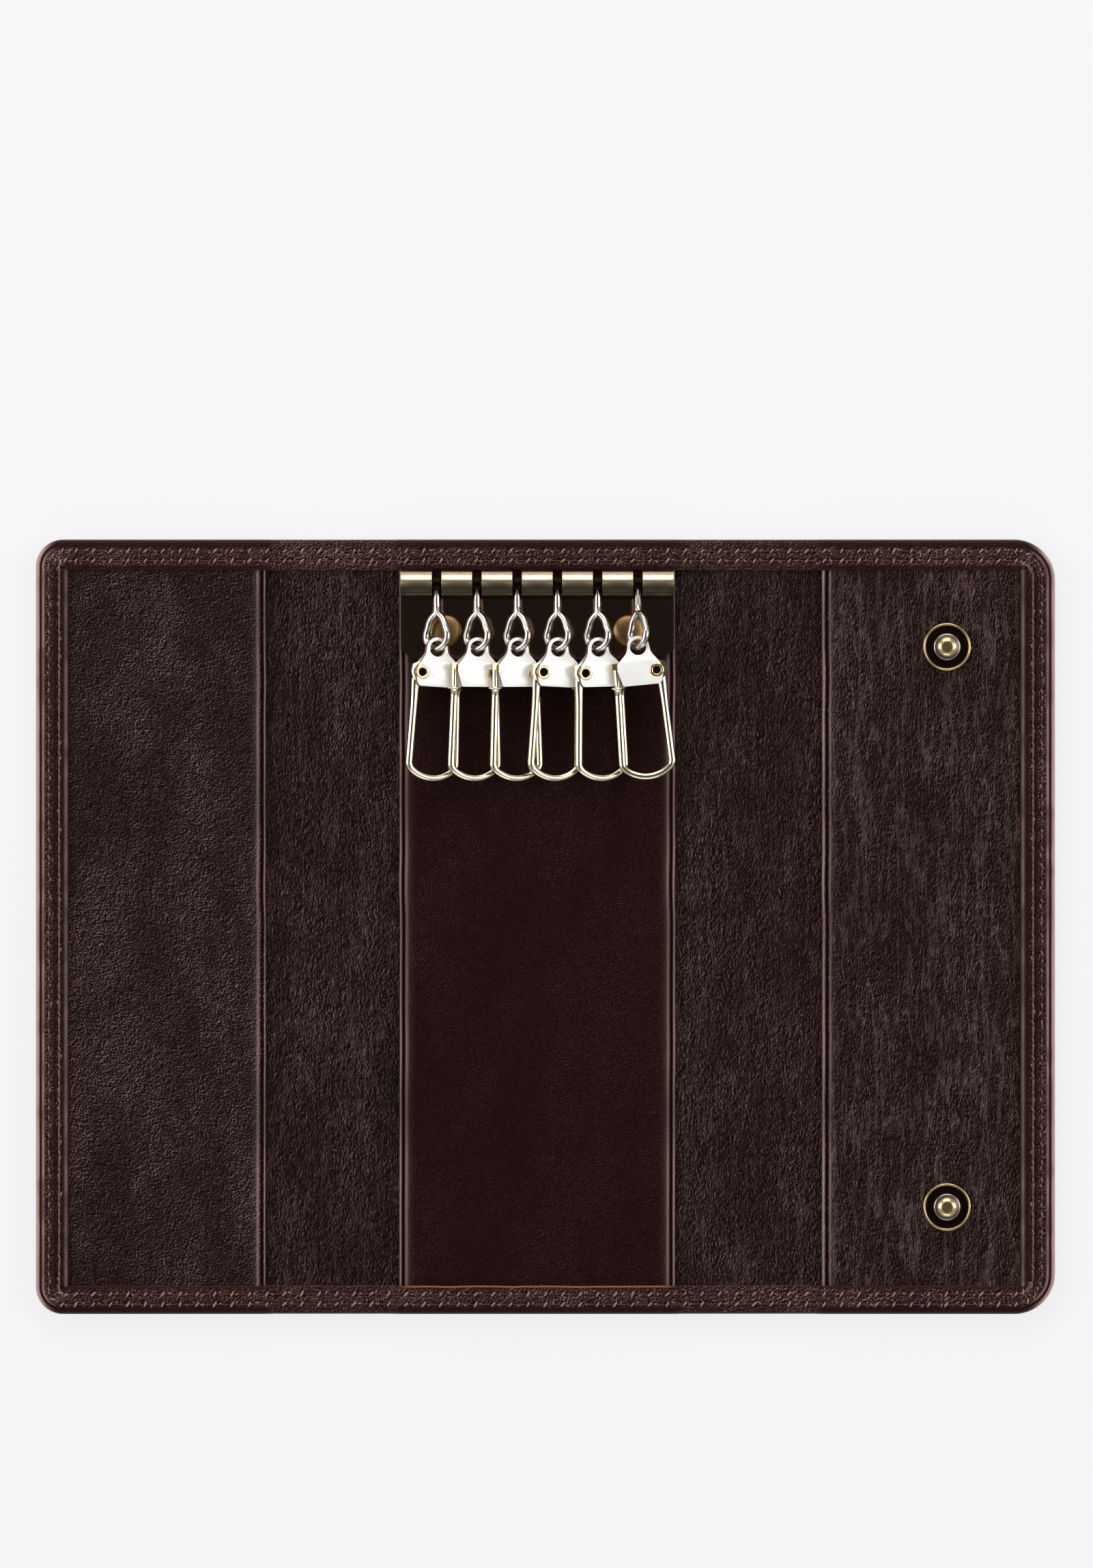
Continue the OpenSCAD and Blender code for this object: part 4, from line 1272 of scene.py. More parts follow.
def build_links():
    """T-headed wire links that hang in the rail's slots."""
    along = np.linspace(0, 1, STEM_POINTS)
    stem = flat_line(np.column_stack([0 * along, np.linspace(STEM_FROM, STEM_TO, STEM_POINTS)]))
    # a short waist joins the flat stem to the two strands of the ring
    wide = 0.50 + 0.28 * ease(0.72, 0.95, along) - 0.25 * ease(0.93, 1.0, along)
    tall = 0.52 - 0.1 * ease(0.8, 1, along)
    apex = np.array([0.0, -STRANDS_PART])
    for n in HOOKS:
        frame, reach = link_frame(n)
        turn = END_RING_TURN if n == HOOKS[-1] else RING_TURN
        tilt = frame @ Matrix.Rotation(math.radians(-turn), 4, "Y")
        cross = frame @ Matrix.Rotation(math.pi / 2, 4, "Y")
        centre = reach - RING_R
        spread = math.asin(RING_R / (centre - RING_POINTS_AT))
        ends = math.pi - spread, 2 * math.pi + spread
        ring = arc_points(0, -centre, RING_R, *ends, RING_STEPS)
        lead = [shoulder(apex, ring[0], t) for t in np.linspace(0, 1, SHOULDER_POINTS)[:-1]]
        tail = [shoulder(apex, ring[-1], t) for t in np.linspace(1, 0, SHOULDER_POINTS)[1:]]
        piece = Piece()
        # the cross head inside the tube is painted black as shade
        piece.lathe(CROSS_HEAD, cross, steps=24, tint=lambda co: BLACK)
        piece.tube(stem, wide, tall, tilt, tint=stem_shade)
        piece.tube(flat_line(np.vstack([lead, ring, tail])), WIRE_R, WIRE_R, tilt)
        finishes, node = [METALS["link"]], f"link_{n}"
        piece.finish(f"wire_link_{n}", f"link_{n}", finishes, replaces=(node,))


# Hook bodies: place of the rivet, thickness of a cheek, gap between the cheeks
BODY_PLAN_RIVET = Vector((2.4, -3.55))
CHEEK_T, CHEEK_GAP = 0.35, 1.2
CHEEK_OUT = CHEEK_T + CHEEK_GAP / 2
# Radii of the head, of its eye and of the rivet's hole
HEAD_R, EYE_R, RIVET_HOLE_R = 1.65, 1.18, 0.77
# The cheeks come together from the first to the second of these heights, in so many bends
SPREAD_Y, PINCH_Y, PINCH_BENDS = -2.2, -0.35, 9
# Tubular rivet: bore, wall at the cheeks, and the flare's middle radius and its own size
BORE_R, RIVET_R, FLARE_R, FLARE_WIDE, FLARE_HIGH = 0.55, 0.75, 0.8, 0.25, 0.12


def hook_frame(n):
    """Matrix of a hook with its eye at the origin, drawn with its rivet on the +X side."""
    eye = joint_place(f"hook_{n}_swing")
    rivet = joint_place(f"loop_{n}_open")
    face = Vector(JOINTS[f"hook_{n}_swing"]["axis"])
    face = face if face.z > 0 else -face
    tilt = Matrix.Rotation(math.atan2(face.x, face.z), 4, "Y")
    local = (tilt.inverted() @ (rivet - eye)).to_2d()
    side = 1.0 if local.x > 0 else -1.0
    plan = Vector((side * BODY_PLAN_RIVET.x, BODY_PLAN_RIVET.y))
    lean = math.atan2(local.y, local.x) - math.atan2(plan.y, plan.x)
    mirror = Matrix.Diagonal((side, 1, 1, 1))
    return Matrix.Translation(eye) @ tilt @ Matrix.Rotation(lean, 4, "Z") @ mirror


def hook_outline():
    """Plan of one cheek, clockwise from the head, with the rivet on the +X side."""
    rx, ry = BODY_PLAN_RIVET
    turns = np.radians(np.linspace(152, 12, 15))
    head = [(HEAD_R * math.cos(a), HEAD_R * math.sin(a), 0.0) for a in turns]
    side = [
        (1.75, -0.85, 1.6),
        (rx + 0.62, ry + 1.05, 0.9),
        (rx + 0.98, ry - 0.15, 0.6),
        (rx + 0.55, -5.55, 0.7),
        (-2.65, -5.55, 0.35),
        (-3.3, -3.3, 0.3),
        (-3.3, -2.35, 0.35),
        (-1.72, -0.72, 1.6),
    ]
    return rounded(head + side)


def bore_shade(co):
    """Black painted inside the bore of a tubular rivet as its shade."""
    return BLACK if math.hypot(co.x, co.y) < 0.58 else PLAIN


def upper_cheek(y, upper):
    """Height of the upper cheek's two faces."""
    gap = CHEEK_GAP / 2 * (1 - float(ease(SPREAD_Y, PINCH_Y, y)))
    return 0.01 + gap + (CHEEK_T if upper else 0.0)


def lower_cheek(y, upper):
    """Height of the lower cheek's two faces."""
    return -upper_cheek(y, not upper)


def build_hooks():
    """Folded sheet bodies of the hooks, and their tubular rivets."""
    rx, ry = BODY_PLAN_RIVET
    outline = hook_outline()
    holes = [circle(0, 0, EYE_R, 40), circle(rx, ry, RIVET_HOLE_R, 28)]
    bends = np.linspace(SPREAD_Y, PINCH_Y, PINCH_BENDS)
    turns = np.linspace(-0.35, math.pi, 9)
    lip = CHEEK_OUT + 0.02
    half = [(RIVET_R, 0.0), (RIVET_R, CHEEK_OUT - 0.03)]
    half += [(FLARE_R + FLARE_WIDE * math.cos(a), lip + FLARE_HIGH * math.sin(a)) for a in turns]
    half += [(BORE_R, CHEEK_OUT - 0.2), (BORE_R, 0.0)]
    rivet = half + [(r, -z) for r, z in reversed(half)]
    for n in HOOKS:
        frame = hook_frame(n)
        piece = Piece()
        for lift in (upper_cheek, lower_cheek):
            piece.plate(
                outline, 0, 0, frame, 0.09, segments=2, holes=holes, bends=bends, lift=lift, rim=1
            )
        # the cheeks' edge faces take a darker metal, a painted dark reflection
        body, finishes = f"hook_{n}", [METALS["body"], METALS["edge"]]
        replaced = (f"hook_body_{n}",)
        piece.finish(
            f"hook_cheeks_{n}", body, finishes, replaces=replaced, sharp=FINE_SHARP
        )
        spot = frame @ Matrix.Translation((rx, ry, 0))
        turned(
            f"hook_tube_{n}", body, "rivet_metal", "rivet", f"hook_rivet_{n}", rivet, spot,
            steps=40, tint=bore_shade,
        )


# Wire loops: radius of the wire, and the legs' places across the hook
LOOP_R = 0.55
LATCH_LEG, PIVOT_LEG = 3.5, 3.0
# Where the legs' wire begins under the collar's top and under the rivet, and a leg's points
UNDER_COLLAR, UNDER_RIVET, LEG_POINTS = 0.5, 0.75, 14
# Half width of the foot, radius of its corners and of its round, and the loop's reach
FOOT_W, FOOT_CORNER, FOOT_ARC, LOOP_DROP = 3.65, 1.3, 4.9, 18.9
# Place of the collar, and its profile along the latched leg as radius and height
COLLAR_TOP = 5.6
COLLAR = [
    (0, -3.4), (0.42, -3.4), (0.42, -0.1), (0.5, -0.02), (0.86, 0.0), (0.95, 0.08), (0.97, 0.22),
    (0.86, 0.34), (0.68, 0.62), (0.6, 0.85), (0.56, 1.3), (0, 1.3),
]
# Flattened end of the pivot leg: radius, radius of its hole, half its and the latch's thickness
EAR_R, EAR_HOLE_R, FLAT_HALF = 1.5, 0.8, 0.5
# Latch block: top, height, half width and corners
BLOCK_TOP, BLOCK_TALL, BLOCK_HALF, BLOCK_ROUND = -2.12, 0.95, 0.525, 0.12


def loop_line():
    """Middle line of the wire loop: down the latched leg, round the foot and up to the rivet."""
    x = (PIVOT_LEG - LATCH_LEG) / 2
    arc_y = FOOT_ARC - LOOP_DROP
    reach, dx = FOOT_ARC - FOOT_CORNER, FOOT_W - FOOT_CORNER
    turn = math.asin(dx / reach)
    corner_y = arc_y - reach * math.cos(turn)
    latch = np.array([-LATCH_LEG, -COLLAR_TOP - UNDER_COLLAR])
    pivot = np.array([PIVOT_LEG, BODY_PLAN_RIVET.y - UNDER_RIVET])
    left_c, right_c = np.array([x - dx, corner_y]), np.array([x + dx, corner_y])
    to_latch, to_pivot = latch - left_c, pivot - right_c
    left = math.atan2(to_latch[1], to_latch[0])
    left += math.acos(FOOT_CORNER / np.linalg.norm(to_latch))
    right = math.atan2(to_pivot[1], to_pivot[0])
    right -= math.acos(FOOT_CORNER / np.linalg.norm(to_pivot))
    bottom = 1.5 * math.pi
    first = arc_points(*left_c, FOOT_CORNER, left, bottom - turn, 10)
    foot = arc_points(x, arc_y, FOOT_ARC, bottom - turn, bottom + turn, 18)[1:-1]
    last = arc_points(*right_c, FOOT_CORNER, bottom + turn, 2 * math.pi + right, 10)
    down = [latch + (first[0] - latch) * t for t in np.linspace(0, 1, LEG_POINTS)[:-1]]
    up = [last[-1] + (pivot - last[-1]) * t for t in np.linspace(0, 1, LEG_POINTS)[1:]]
    return flat_line(np.vstack([down, first, foot, last, up]))


def ear_outline():
    """Flattened end round the rivet, with a blunt horn at its upper corner."""
    rx, ry = BODY_PLAN_RIVET
    eye = [tuple(p) for p in arc_points(rx, ry, EAR_R, math.radians(92), math.radians(358), 30)]
    horn = [(rx + 1.5876, ry + 0.1, 0), (rx + 1.38, ry + 1.1, 0.4), (rx + 0.3, ry + 1.5714, 0.3)]
    return eye + rounded([(*eye[-1], 0), *horn, (*eye[0], 0)])[1:-1]


def build_loops():
    """Wire loops that hold the keys, each with a flattened eye, a collar and a latch."""
    line, ear = loop_line(), ear_outline()
    hole = circle(*BODY_PLAN_RIVET, EAR_HOLE_R, 28)
    flat = ease(0.93, 1.0, np.linspace(0, 1, len(line)))
    wide, high = LOOP_R + 0.1 * flat, LOOP_R - 0.12 * flat
    block = rounded(
        [
            (-LATCH_LEG + side * BLOCK_HALF, BLOCK_TOP - drop * BLOCK_TALL, BLOCK_ROUND)
            for side, drop in ((-1, 0), (1, 0), (1, 1), (-1, 1))
        ]
    )
    for n in HOOKS:
        frame = hook_frame(n)
        leg = frame @ Matrix.Translation((-LATCH_LEG, -COLLAR_TOP, 0))
        piece = Piece()
        piece.tube(line, wide, high, frame)
        piece.plate(ear, -FLAT_HALF, FLAT_HALF, frame, 0.12, holes=[hole])
        piece.lathe(COLLAR, leg @ Matrix.Rotation(math.pi / 2, 4, "X"), steps=32)
        piece.plate(block, -FLAT_HALF, FLAT_HALF, frame, 0.1, material=1)
        piece.finish(
            f"wire_loop_{n}", f"loop_{n}", [METALS["wire"], METALS["rivet"]],
            replaces=(f"key_loop_{n}",), sharp=FINE_SHARP,
        )


# Radii of a press stud: its neck, its silvery collar, and the black ring round that
STUD_NECK, STUD_COLLAR, STUD_RIM = 1.35, 1.95, 3.12
# Sockets: radius of the bore and of the wall that goes into the leather
BORE, WALL = 1.62, 2.3
SPRING_TURN, SPRING_STEPS = math.radians(320), 48


def stud_shade(co):
    """Silvery collar of a press stud, and black painted into the sunken ring round it as its dark
    reflection.
    """
    r = math.hypot(co.x, co.y)
    if r > STUD_RIM or r < STUD_NECK or co.z > 0.75:
        return PLAIN
    return SILVER if r < STUD_COLLAR else BLACK


def stud_profile(top):
    """Head, neck, collar and rolled flange of a press stud."""
    return [
        (0, top - 0.02), (0.55, top - 0.02), (0.8, top - 0.03), (1.05, top - 0.12),
        (1.3, top - 0.28), (1.44, top - 0.45), (1.4, top - 0.62), (1.27, top - 0.8),
        (1.25, 0.72), (1.4, 0.64), (1.7, 0.62), (1.9, 0.58), (1.97, 0.5), (2.0, 0.40),
        (2.2, 0.36), (2.9, 0.36), (3.1, 0.39), (3.17, 0.5), (3.28, 0.56), (3.4, 0.55),
        (3.49, 0.45), (3.5, 0.3), (3.45, 0.02), (0, 0.02),
    ]


def cap_profile(r, top):
    """Rounded cap on the outside, with the shank that holds the stud."""
    turns = np.linspace(0.5, 1.57, 7)
    return [
        (0, 0.0), (r * 0.55, 0.015), (r * 0.8, 0.06),
        *((r - 0.5 + 0.5 * math.sin(a), 0.5 - 0.5 * math.cos(a)) for a in turns),
        (r, 0.95), (r - 0.1, 1.0), (0.95, 1.0), (0.95, top), (0, top),
    ]


def socket_profile(r, top):
    """Socket with its bore, its rolled lip and the wall through the leather."""
    return [
        (BORE + 0.02, top - 0.3), (BORE, 0.72), (1.9, 0.62), (1.9, 0.22), (BORE + 0.03, 0.12),
        (BORE + 0.12, 0.02), (BORE + 0.35, 0.0), (r - 0.9, 0.0), (r - 0.35, 0.03),
        (r - 0.08, 0.14), (r, 0.35), (r, 0.62), (r - 0.08, 0.7), (WALL, 0.7), (WALL, top),
        (0.85, top), (0.85, top - 0.3), (BORE + 0.02, top - 0.3),
    ]


def post_profile(r, foot, disc, top):
    """Post of a socket, with the flange that is clinched on the socket's disc."""
    return [
        (0, foot), (0.7, foot), (0.8, foot + 0.08), (0.8, disc + 0.02), (r - 0.1, disc + 0.02),
        (r, disc + 0.1), (r, top - 0.08), (r - 0.08, top), (0, top),
    ]


def build_snaps():
    """Press studs with their outside caps, and the sockets with their springs and posts."""
    for n in (1, 2):
        stud, cap, socket, post, spring = (
            f"{kind}_{n}"
            for kind in ("snap_stud", "snap_cap", "snap_socket", "socket_post", "socket_spring")
        )
        middle, low, high = middle_of(stud)
        spot = Matrix.Translation((middle.x, middle.y, Z_PANEL))
        profile = stud_profile(high.z - Z_PANEL)
        turned(
            f"press_stud_{n}", "right_flap", "snap_metal", "stud", stud, profile, spot,
            tint=stud_shade,
        )
        middle, low, high = middle_of(cap)
        spot = Matrix.Translation((middle.x, middle.y, 0))
        profile = cap_profile((high.x - low.x) / 2, high.z)
        turned(f"stud_cap_{n}", "right_flap", "snap_metal", "dull", cap, profile, spot)

        middle, low, high = middle_of(socket)
        disc = high.z
        spot = Matrix.Translation((middle.x, middle.y, 0))
        profile = socket_profile((high.x - low.x) / 2, disc)
        turned(f"press_socket_{n}", "left_flap", "snap_metal", "stud", socket, profile, spot)

        middle, low, high = middle_of(post)
        spot = Matrix.Translation((middle.x, middle.y, 0))
        profile = post_profile((high.x - low.x) / 2, low.z, disc, high.z)
        turned(f"clinch_post_{n}", "left_flap", "snap_metal", "dull", post, profile, spot, 48)

        middle, low, high = middle_of(spring)
        wire = (high.z - low.z) / 2
        r = (high.x - low.x) / 2 - wire
        ring = arc_points(middle.x, middle.y, r, 0, SPRING_TURN, SPRING_STEPS)
        piece = Piece()
        piece.tube(flat_line(ring) + [0, 0, middle.z], wire, wire, sides=10)
        finishes = [METALS["spring"]]
        piece.finish(
            f"split_spring_{n}", "left_flap", finishes, replaces=(spring,)
        )


# ---------------------------------------------------------------- materials

PLAIN_STRETCH = (1.0, 1.0, 1.0)
# silver tone, and the black painted on metal as shade and dark reflection
COLLAR_SILVER, PAINTED_SHADE_BLACK = (150, 136, 130), (24, 16, 13)
AGED_BRASS, AGED_BRASS_WORN = (0.30, 0.175, 0.075), (0.14, 0.075, 0.032)
# Leather's weak reflection and its warm tint
LEATHER_SHINE, LEATHER_TINT = 0.035, (1.0, 0.78, 0.74)
# Depths in millimetres of the leather's grain, the thread's twist and the metal's scratches
GRAIN_DEPTH, TWIST_DEPTH, SCRATCH_DEPTH = 0.09, 0.04, 0.004


def within(value):
    """The value kept between 0 and 1."""
    return value.most(0.0).least(1.0)


def leather(
    name, dark, light, scale, amount, stretch=PLAIN_STRETCH, slant=(0.1, -0.1, 0.0), crease=0.0,
    patch=(0.35, 1.25), raw=None,
):
    """Aniline leather: fine pebbles on a dark ground, painted light on the side slant points at.
    """
    g = Graph(name)
    rest = g.rest()
    edge, wear_and_painted_light, grain = g.tone()
    # the pebbles are read twice, and where they fall away along slant a highlight is painted
    sway = g.noise(rest, 0.6, 2.0, 0.5, "Color")
    place = g.moved(g.scaled(rest, stretch), g.scaled(sway, (0.8, 0.8, 0.0)))
    pebbles, beside = (
        g.noise(spot, scale * 1.15, 2.0, 0.6) - 0.32 * g.cells(spot, scale)
        for spot in (place, g.moved(place, slant))
    )
    gate = g.noise(g.moved(rest, (3.0, 31.0, 0.0)), 0.9, 2.0, 0.5).ramp(0.3, 0.7)
    strokes = within((beside - pebbles) * 4.2 - 0.02) * (0.6 + 0.6 * gate)
    fine = g.noise(rest, 5.0, 2.0, 0.6)
    # painted sheen: broad patches where the painted grain highlights are stronger
    broad = g.noise(g.scaled(rest, (1.0, 0.5, 1.0)), 0.14, 3.0, 0.55).ramp(0.36, 0.66, *patch)
    shade = strokes * grain * broad * amount + (fine - 0.45) * 0.06 * (grain + 0.3)
    height = pebbles * (grain * 0.9 + 0.1) + fine * 0.15
    if crease:
        # fine creases that run up the case, painted lighter along their lines as a highlight
        run = g.noise(g.scaled(rest, (0.62, 0.07, 1.0)), 1.0, 3.0, 0.55)
        line = (1.0 - abs(run - 0.5) * 24.0).most(0.0) * (gate * 0.6 + 0.4) * broad
        shade = shade + line * crease * grain
        height = height - line * 0.8
    # rubbed lines with painted highlight and shade
    shade = shade + wear_and_painted_light * (0.8 + 0.5 * (fine - 0.5))
    colour = g.mix(within(shade), dark, light)
    if raw:
        colour = g.mix(within(edge * (0.35 + 0.8 * fine)), colour, raw)
    return g.surface(
        Base_Color=colour,
        Roughness=0.52 - 0.08 * strokes,
        Specular_IOR_Level=LEATHER_SHINE,
        Specular_Tint=LEATHER_TINT,
        Normal=g.bumped(height, GRAIN_DEPTH),
    )


def thread(name, dark, light):
    """Twisted sewing thread, painted light at the needle holes as highlight, dark between as
    shade.
    """
    g = Graph(name)
    rest = g.rest()
    shown = g.tone()[0]
    strand = g.noise(rest, 3.2, 2.0, 0.6)
    ply = g.noise(rest, 11.0, 2.0, 0.6)
    colour = g.mix((shown * (0.55 + 0.9 * strand)).least(1.0), dark, light)
    return g.surface(
        Base_Color=colour,
        Roughness=0.5 + 0.2 * ply,
        Specular_IOR_Level=0.2,
        Normal=g.bumped(ply, TWIST_DEPTH),
    )


def metal(name, base, worn, rough, scratch, stretch=PLAIN_STRETCH, solid=1.0):
    """Polished or antiqued metal with fine scratches; the tone adds silver and painted black
    shade.
    """
    g = Graph(name)
    rest = g.rest()
    silver, _, black = g.tone()
    cloud = g.noise(rest, 0.8, 3.0, 0.6)
    lines = g.noise(g.scaled(rest, stretch), 6.0, 2.0, 0.6)
    # the worn colour shows in clouds
    colour = g.mix(cloud.ramp(0.4, 0.75) * 0.5, base, worn)
    colour = g.mix(silver, colour, linear(COLLAR_SILVER))
    # painted shade and dark reflection, in black
    colour = g.mix(black, colour, linear(PAINTED_SHADE_BLACK))
    return g.surface(
        Base_Color=colour,
        Metallic=solid,
        Roughness=(rough + scratch * (lines - 0.5) + 0.05 * cloud + black * 0.25).least(1.0),
        Normal=g.bumped(lines, SCRATCH_DEPTH),
    )


def darker(colour, share):
    """The same colour with less light."""
    return tuple(c * share for c in colour)


def build_leathers():
    """Leathers and thread, from the colours in the sidebar."""
    skin = bpy.context.scene.key_case_leather
    cover, fold, pocket, panel, rub_and_light, raw, light, shade = (
        tuple(getattr(skin, name))
        for name in (
            "cover_colour", "fold_colour", "pocket_colour", "panel_colour", "rubbed_and_lit_colour",
            "raw_edge_colour", "thread_colour", "thread_shade",
        )
    )
    grain = skin.grain
    LEATHERS.append(
        leather("cover_brown", cover, rub_and_light, 3.0, 0.46 * grain, patch=(0.6, 1.2), raw=raw)
    )
    LEATHERS.append(thread("brown_thread", shade, light))
    LEATHERS.append(
        leather(
            "fold_brown", fold, rub_and_light, 3.4, 0.28 * grain, stretch=(1.0, 0.5, 1.0),
            slant=(0.12, -0.03, 0.0), crease=0.07, patch=(0.55, 1.1),
        )
    )
    PANEL_LEATHERS["left"] = leather(
        "left_pocket_brown", pocket, rub_and_light, 3.5, 0.38 * grain, patch=(0.5, 1.2)
    )
    PANEL_LEATHERS["right"] = leather(
        "right_pocket_brown", pocket, rub_and_light, 3.4, 0.25 * grain, stretch=(1.1, 0.5, 1.0),
        slant=(0.12, -0.05, 0.0), crease=0.13, patch=(0.6, 1.1),
    )
    PANEL_LEATHERS["centre"] = leather(
        "centre_panel_brown", panel, rub_and_light, 3.6, 0.06 * grain, patch=(0.3, 1.0)
    )


def build_metals():
    """Metals, from the colours in the sidebar."""
    shine = bpy.context.scene.key_case_metal
    rail, plate, link, wire, body, brass = (
        tuple(getattr(shine, f"{name}_colour"))
        for name in ("rail", "plate", "link", "wire", "body", "brass")
    )
    # key, name, colour and its worn share, roughness and scratches
    for key, name, shown, worn, rough, scratch, extra in (
        ("rail", "rail_nickel", rail, 0.62, 0.2, 0.14, {"stretch": (0.3, 8.0, 1.0)}),
        ("plate", "plate_nickel", plate, 0.6, 0.12, 0.04, {}),
        # the plate's rim is a lighter, duller copy of the link metal: a painted highlight
        ("rim", "plate_rim", darker(link, 0.75), 0.4 / 0.75, 0.3, 0.05, {"solid": 0.4}),
        ("wire", "wire_gilt", wire, 0.74, 0.12, 0.05, {}),
        ("link", "link_nickel", link, 0.6, 0.12, 0.05, {}),
        ("body", "body_silver", body, 0.9, 0.28, 0.06, {"solid": 0.18}),
        # the hook bodies' edges are a darker copy of the wire colour: a painted dark reflection
        ("edge", "body_edge", darker(wire, 0.5), 0.5, 0.3, 0.06, {}),
        ("rivet", "rivet_brass", brass, 0.6, 0.2, 0.06, {}),
        ("stud", "stud_gold", darker(brass, 0.82), 0.42 / 0.82, 0.22, 0.08, {}),
    ):
        METALS[key] = metal(name, shown, darker(shown, worn), rough, scratch, **extra)
    METALS["dull"] = metal("aged_brass", AGED_BRASS, AGED_BRASS_WORN, 0.34, 0.1)
    METALS["spring"] = metal("spring_steel", link, darker(link, 0.5), 0.25, 0.08)


# ---------------------------------------------------------------- stage

# Height of the picture at the leather, and where the camera stands over it, in metres
FRAME_HEIGHT, SENSOR, CAMERA_AWAY = 0.2296, 36.0, 1.1
CAMERA_X, CAMERA_Y = 0.00015, 0.020925
# Light of the room: dim straight above, brighter all round
ZENITH_LEVEL, RING_LEVEL = 0.07, 0.45
# Half width of the floor, and how far it lies under the case
FLOOR_HALF, FLOOR_DROP = 4.0, 0.0002
FLOOR_COLOUR, FLOOR_SHOWN, FLOOR_SHARE = (0.86, 0.85, 0.87), (0.922, 0.914, 0.939), 0.85
# Softboxes: name, place, width, height, power and colour; all point at one place
SOFTBOX_TARGET = (0, 0.02, 0)
SOFTBOXES = (
    ("left_softbox", (-0.62, 0.1, 0.42), 0.5, 0.7, 2.9, (1, 1, 1)),
    ("right_softbox", (0.62, 0.1, 0.42), 0.4, 0.7, 2.4, (1, 1, 1)),
    ("back_softbox", (0.0, 0.7, 0.45), 0.7, 0.7, 3.9, (1.0, 0.97, 0.9)),
    ("front_softbox", (0.0, -0.7, 0.35), 0.6, 0.2, 0.9, (1, 1, 1)),
)


def softbox(name, place, width, height, power, colour):
    """A soft light that looks at the case."""
    data = bpy.data.lights.new(name, "AREA")
    data.shape = "RECTANGLE"
    data.size, data.size_y = width, height
    data.energy = power
    data.color = colour
    obj = new_object(name, data)
    obj.location = place
    way = Vector(SOFTBOX_TARGET) - Vector(place)
    obj.rotation_euler = way.to_track_quat("-Z", "Y").to_euler()


def build_floor():
    """Pale floor that takes the case's shadow and shows an even colour round it."""
    part = bmesh.new()
    bmesh.ops.create_grid(part, x_segments=1, y_segments=1, size=FLOOR_HALF)
    mesh = to_mesh(part, "floor")
    floor = new_object("floor", mesh)
    floor.location.z = -FLOOR_DROP
    g = Graph("pale_floor")
    plain = g.node("ShaderNodeBsdfDiffuse", Color=FLOOR_COLOUR)
    glow = g.node("ShaderNodeEmission", Color=FLOOR_SHOWN, Strength=1.0)
    path = g.node("ShaderNodeLightPath")
    seen = g.value(path, "Is Camera Ray") + g.value(path, "Is Glossy Ray")
    seen = (seen + g.value(path, "Is Transmission Ray")).least(1.0)
    mix = g.node("ShaderNodeMixShader", Fac=seen * FLOOR_SHARE)
    g.tree.links.new(plain.outputs[0], mix.inputs[1])
    g.tree.links.new(glow.outputs[0], mix.inputs[2])
    out = g.node("ShaderNodeOutputMaterial")
    g.tree.links.new(mix.outputs[0], out.inputs["Surface"])
    mesh.materials.append(g.material)


def build_world():
    """Even room light that metal mirrors, darker straight above."""
    world = bpy.data.worlds.new("studio")
    bpy.context.scene.world = world
    world.use_nodes = True
    world.node_tree.nodes.clear()
    sky = Graph.of_tree(world.node_tree)
    way = sky.value(sky.node("ShaderNodeTexCoord"), "Generated")
    up = sky.value(sky.node("ShaderNodeSeparateXYZ", Vector=way), "Z")
    level = up.ramp(0.80, 0.95, RING_LEVEL, ZENITH_LEVEL)
    glow = sky.node("ShaderNodeBackground", Color=(1.0, 0.99, 0.97), Strength=level)
    out = sky.node("ShaderNodeOutputWorld")
    sky.tree.links.new(glow.outputs[0], out.inputs["Surface"])


def build_camera():
    """Camera straight above the case, at the photograph's frame."""
    data = bpy.data.cameras.new("camera")
    data.sensor_fit = "AUTO"
    data.sensor_width = SENSOR
    data.lens = SENSOR * CAMERA_AWAY / FRAME_HEIGHT
    data.clip_start, data.clip_end = 0.01, 20.0
    camera = new_object("camera", data)
    camera.location = (CAMERA_X, CAMERA_Y, CAMERA_AWAY + Z_PANEL * MM)
    bpy.context.scene.camera = camera


def build_stage():
    """Floor, room light, lamps and camera."""
    bpy.context.scene.view_settings.view_transform = "Standard"
    build_floor()
    build_world()
    for light in SOFTBOXES:
        softbox(*light)
    build_camera()


# ---------------------------------------------------------------- the add-on


class BuildStep:
    """Shared settings of the build operators."""

    bl_options = {"REGISTER", "UNDO"}


class KEYCASE_OT_materials(BuildStep, bpy.types.Operator):
    """Make the leathers, the thread and the metals"""

    bl_idname = "keycase.materials"
    bl_label = "Materials"

    def execute(self, context):
        build_leathers()
        build_metals()
        return {"FINISHED"}


class KEYCASE_OT_cover(BuildStep, bpy.types.Operator):
    """Make the stitched cover of the back and of both flaps"""

    bl_idname = "keycase.cover"
    bl_label = "Cover"

    def execute(self, context):
        build_back()
        build_flap("left", LEFT_CUTS[4], X_LEFT, LEFT_CORNER, X_LEFT_POCKET, "snap_socket")
        build_flap("right", RIGHT_CUTS[4], X_RIGHT, RIGHT_CORNER, X_RIGHT_POCKET, "snap_cap")
        return {"FINISHED"}


class KEYCASE_OT_folds(BuildStep, bpy.types.Operator):
    """Make the leather that bends between the panels"""

    bl_idname = "keycase.folds"
    bl_label = "Folds"

    def execute(self, context):
        build_folds()
        return {"FINISHED"}


class KEYCASE_OT_panels(BuildStep, bpy.types.Operator):
    """Make the centre panel and both pockets"""

    bl_idname = "keycase.panels"
    bl_label = "Panels"

    def execute(self, context):
        for panel in PANELS:
            build_panel(*panel)
        return {"FINISHED"}


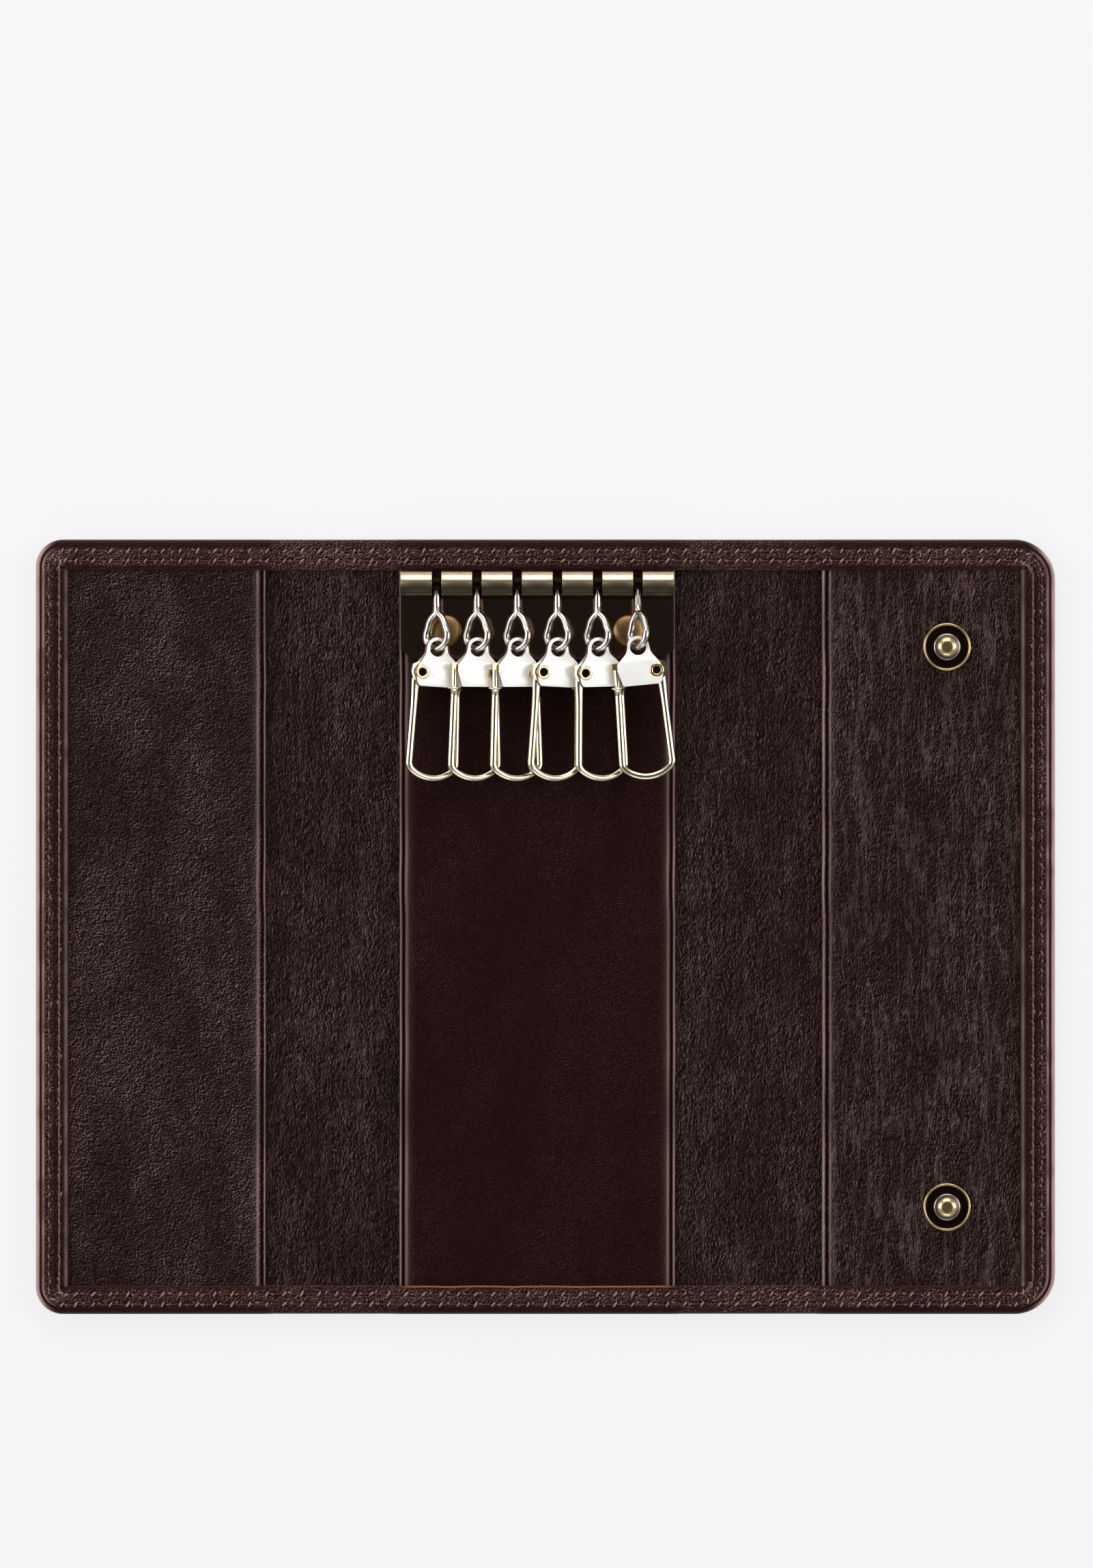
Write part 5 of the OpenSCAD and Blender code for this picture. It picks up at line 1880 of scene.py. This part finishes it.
class KEYCASE_OT_rail(BuildStep, bpy.types.Operator):
    """Make the rolled key rail and its rivets"""

    bl_idname = "keycase.rail"
    bl_label = "Key rail"

    def execute(self, context):
        build_rail()
        return {"FINISHED"}


class KEYCASE_OT_links(BuildStep, bpy.types.Operator):
    """Make the wire links between the rail and the hooks"""

    bl_idname = "keycase.links"
    bl_label = "Links"

    def execute(self, context):
        build_links()
        return {"FINISHED"}


class KEYCASE_OT_hooks(BuildStep, bpy.types.Operator):
    """Make the folded hook bodies and their tubular rivets"""

    bl_idname = "keycase.hooks"
    bl_label = "Hooks"

    def execute(self, context):
        build_hooks()
        return {"FINISHED"}


class KEYCASE_OT_loops(BuildStep, bpy.types.Operator):
    """Make the wire loops that hold the keys"""

    bl_idname = "keycase.loops"
    bl_label = "Wire loops"

    def execute(self, context):
        build_loops()
        return {"FINISHED"}


class KEYCASE_OT_snaps(BuildStep, bpy.types.Operator):
    """Make the press studs, their caps and their sockets"""

    bl_idname = "keycase.snaps"
    bl_label = "Press studs"

    def execute(self, context):
        build_snaps()
        return {"FINISHED"}


class KEYCASE_OT_stage(BuildStep, bpy.types.Operator):
    """Make the floor, the lights and the camera"""

    bl_idname = "keycase.stage"
    bl_label = "Stage"

    def execute(self, context):
        build_stage()
        return {"FINISHED"}


OPERATORS = (
    KEYCASE_OT_materials,
    KEYCASE_OT_cover,
    KEYCASE_OT_folds,
    KEYCASE_OT_panels,
    KEYCASE_OT_rail,
    KEYCASE_OT_links,
    KEYCASE_OT_hooks,
    KEYCASE_OT_loops,
    KEYCASE_OT_snaps,
    KEYCASE_OT_stage,
)
GROUPS = {
    "key_case_leather": KEYCASE_PG_leather,
    "key_case_sewing": KEYCASE_PG_sewing,
    "key_case_metal": KEYCASE_PG_metal,
}


class KEYCASE_PT_build(bpy.types.Panel):
    """Settings and build steps of the key case"""

    bl_label = "Key Case"
    bl_idname = "KEYCASE_PT_build"
    bl_space_type = "VIEW_3D"
    bl_region_type = "UI"
    bl_category = "Key Case"

    def draw(self, context):
        for name, group in GROUPS.items():
            box = self.layout.box()
            for setting in group.__annotations__:
                box.prop(getattr(context.scene, name), setting)
        for step in OPERATORS:
            self.layout.operator(step.bl_idname)


CLASSES = (*GROUPS.values(), *OPERATORS, KEYCASE_PT_build)


def register():
    for cls in CLASSES:
        bpy.utils.register_class(cls)
    for name, group in GROUPS.items():
        setattr(bpy.types.Scene, name, bpy.props.PointerProperty(type=group))


def unregister():
    for name in GROUPS:
        delattr(bpy.types.Scene, name)
    for cls in reversed(CLASSES):
        bpy.utils.unregister_class(cls)


def main():
    """Registers the add-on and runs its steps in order."""
    register()
    for step in OPERATORS:
        getattr(bpy.ops.keycase, step.bl_idname.split(".")[1])()


if __name__ == "__main__":
    main()
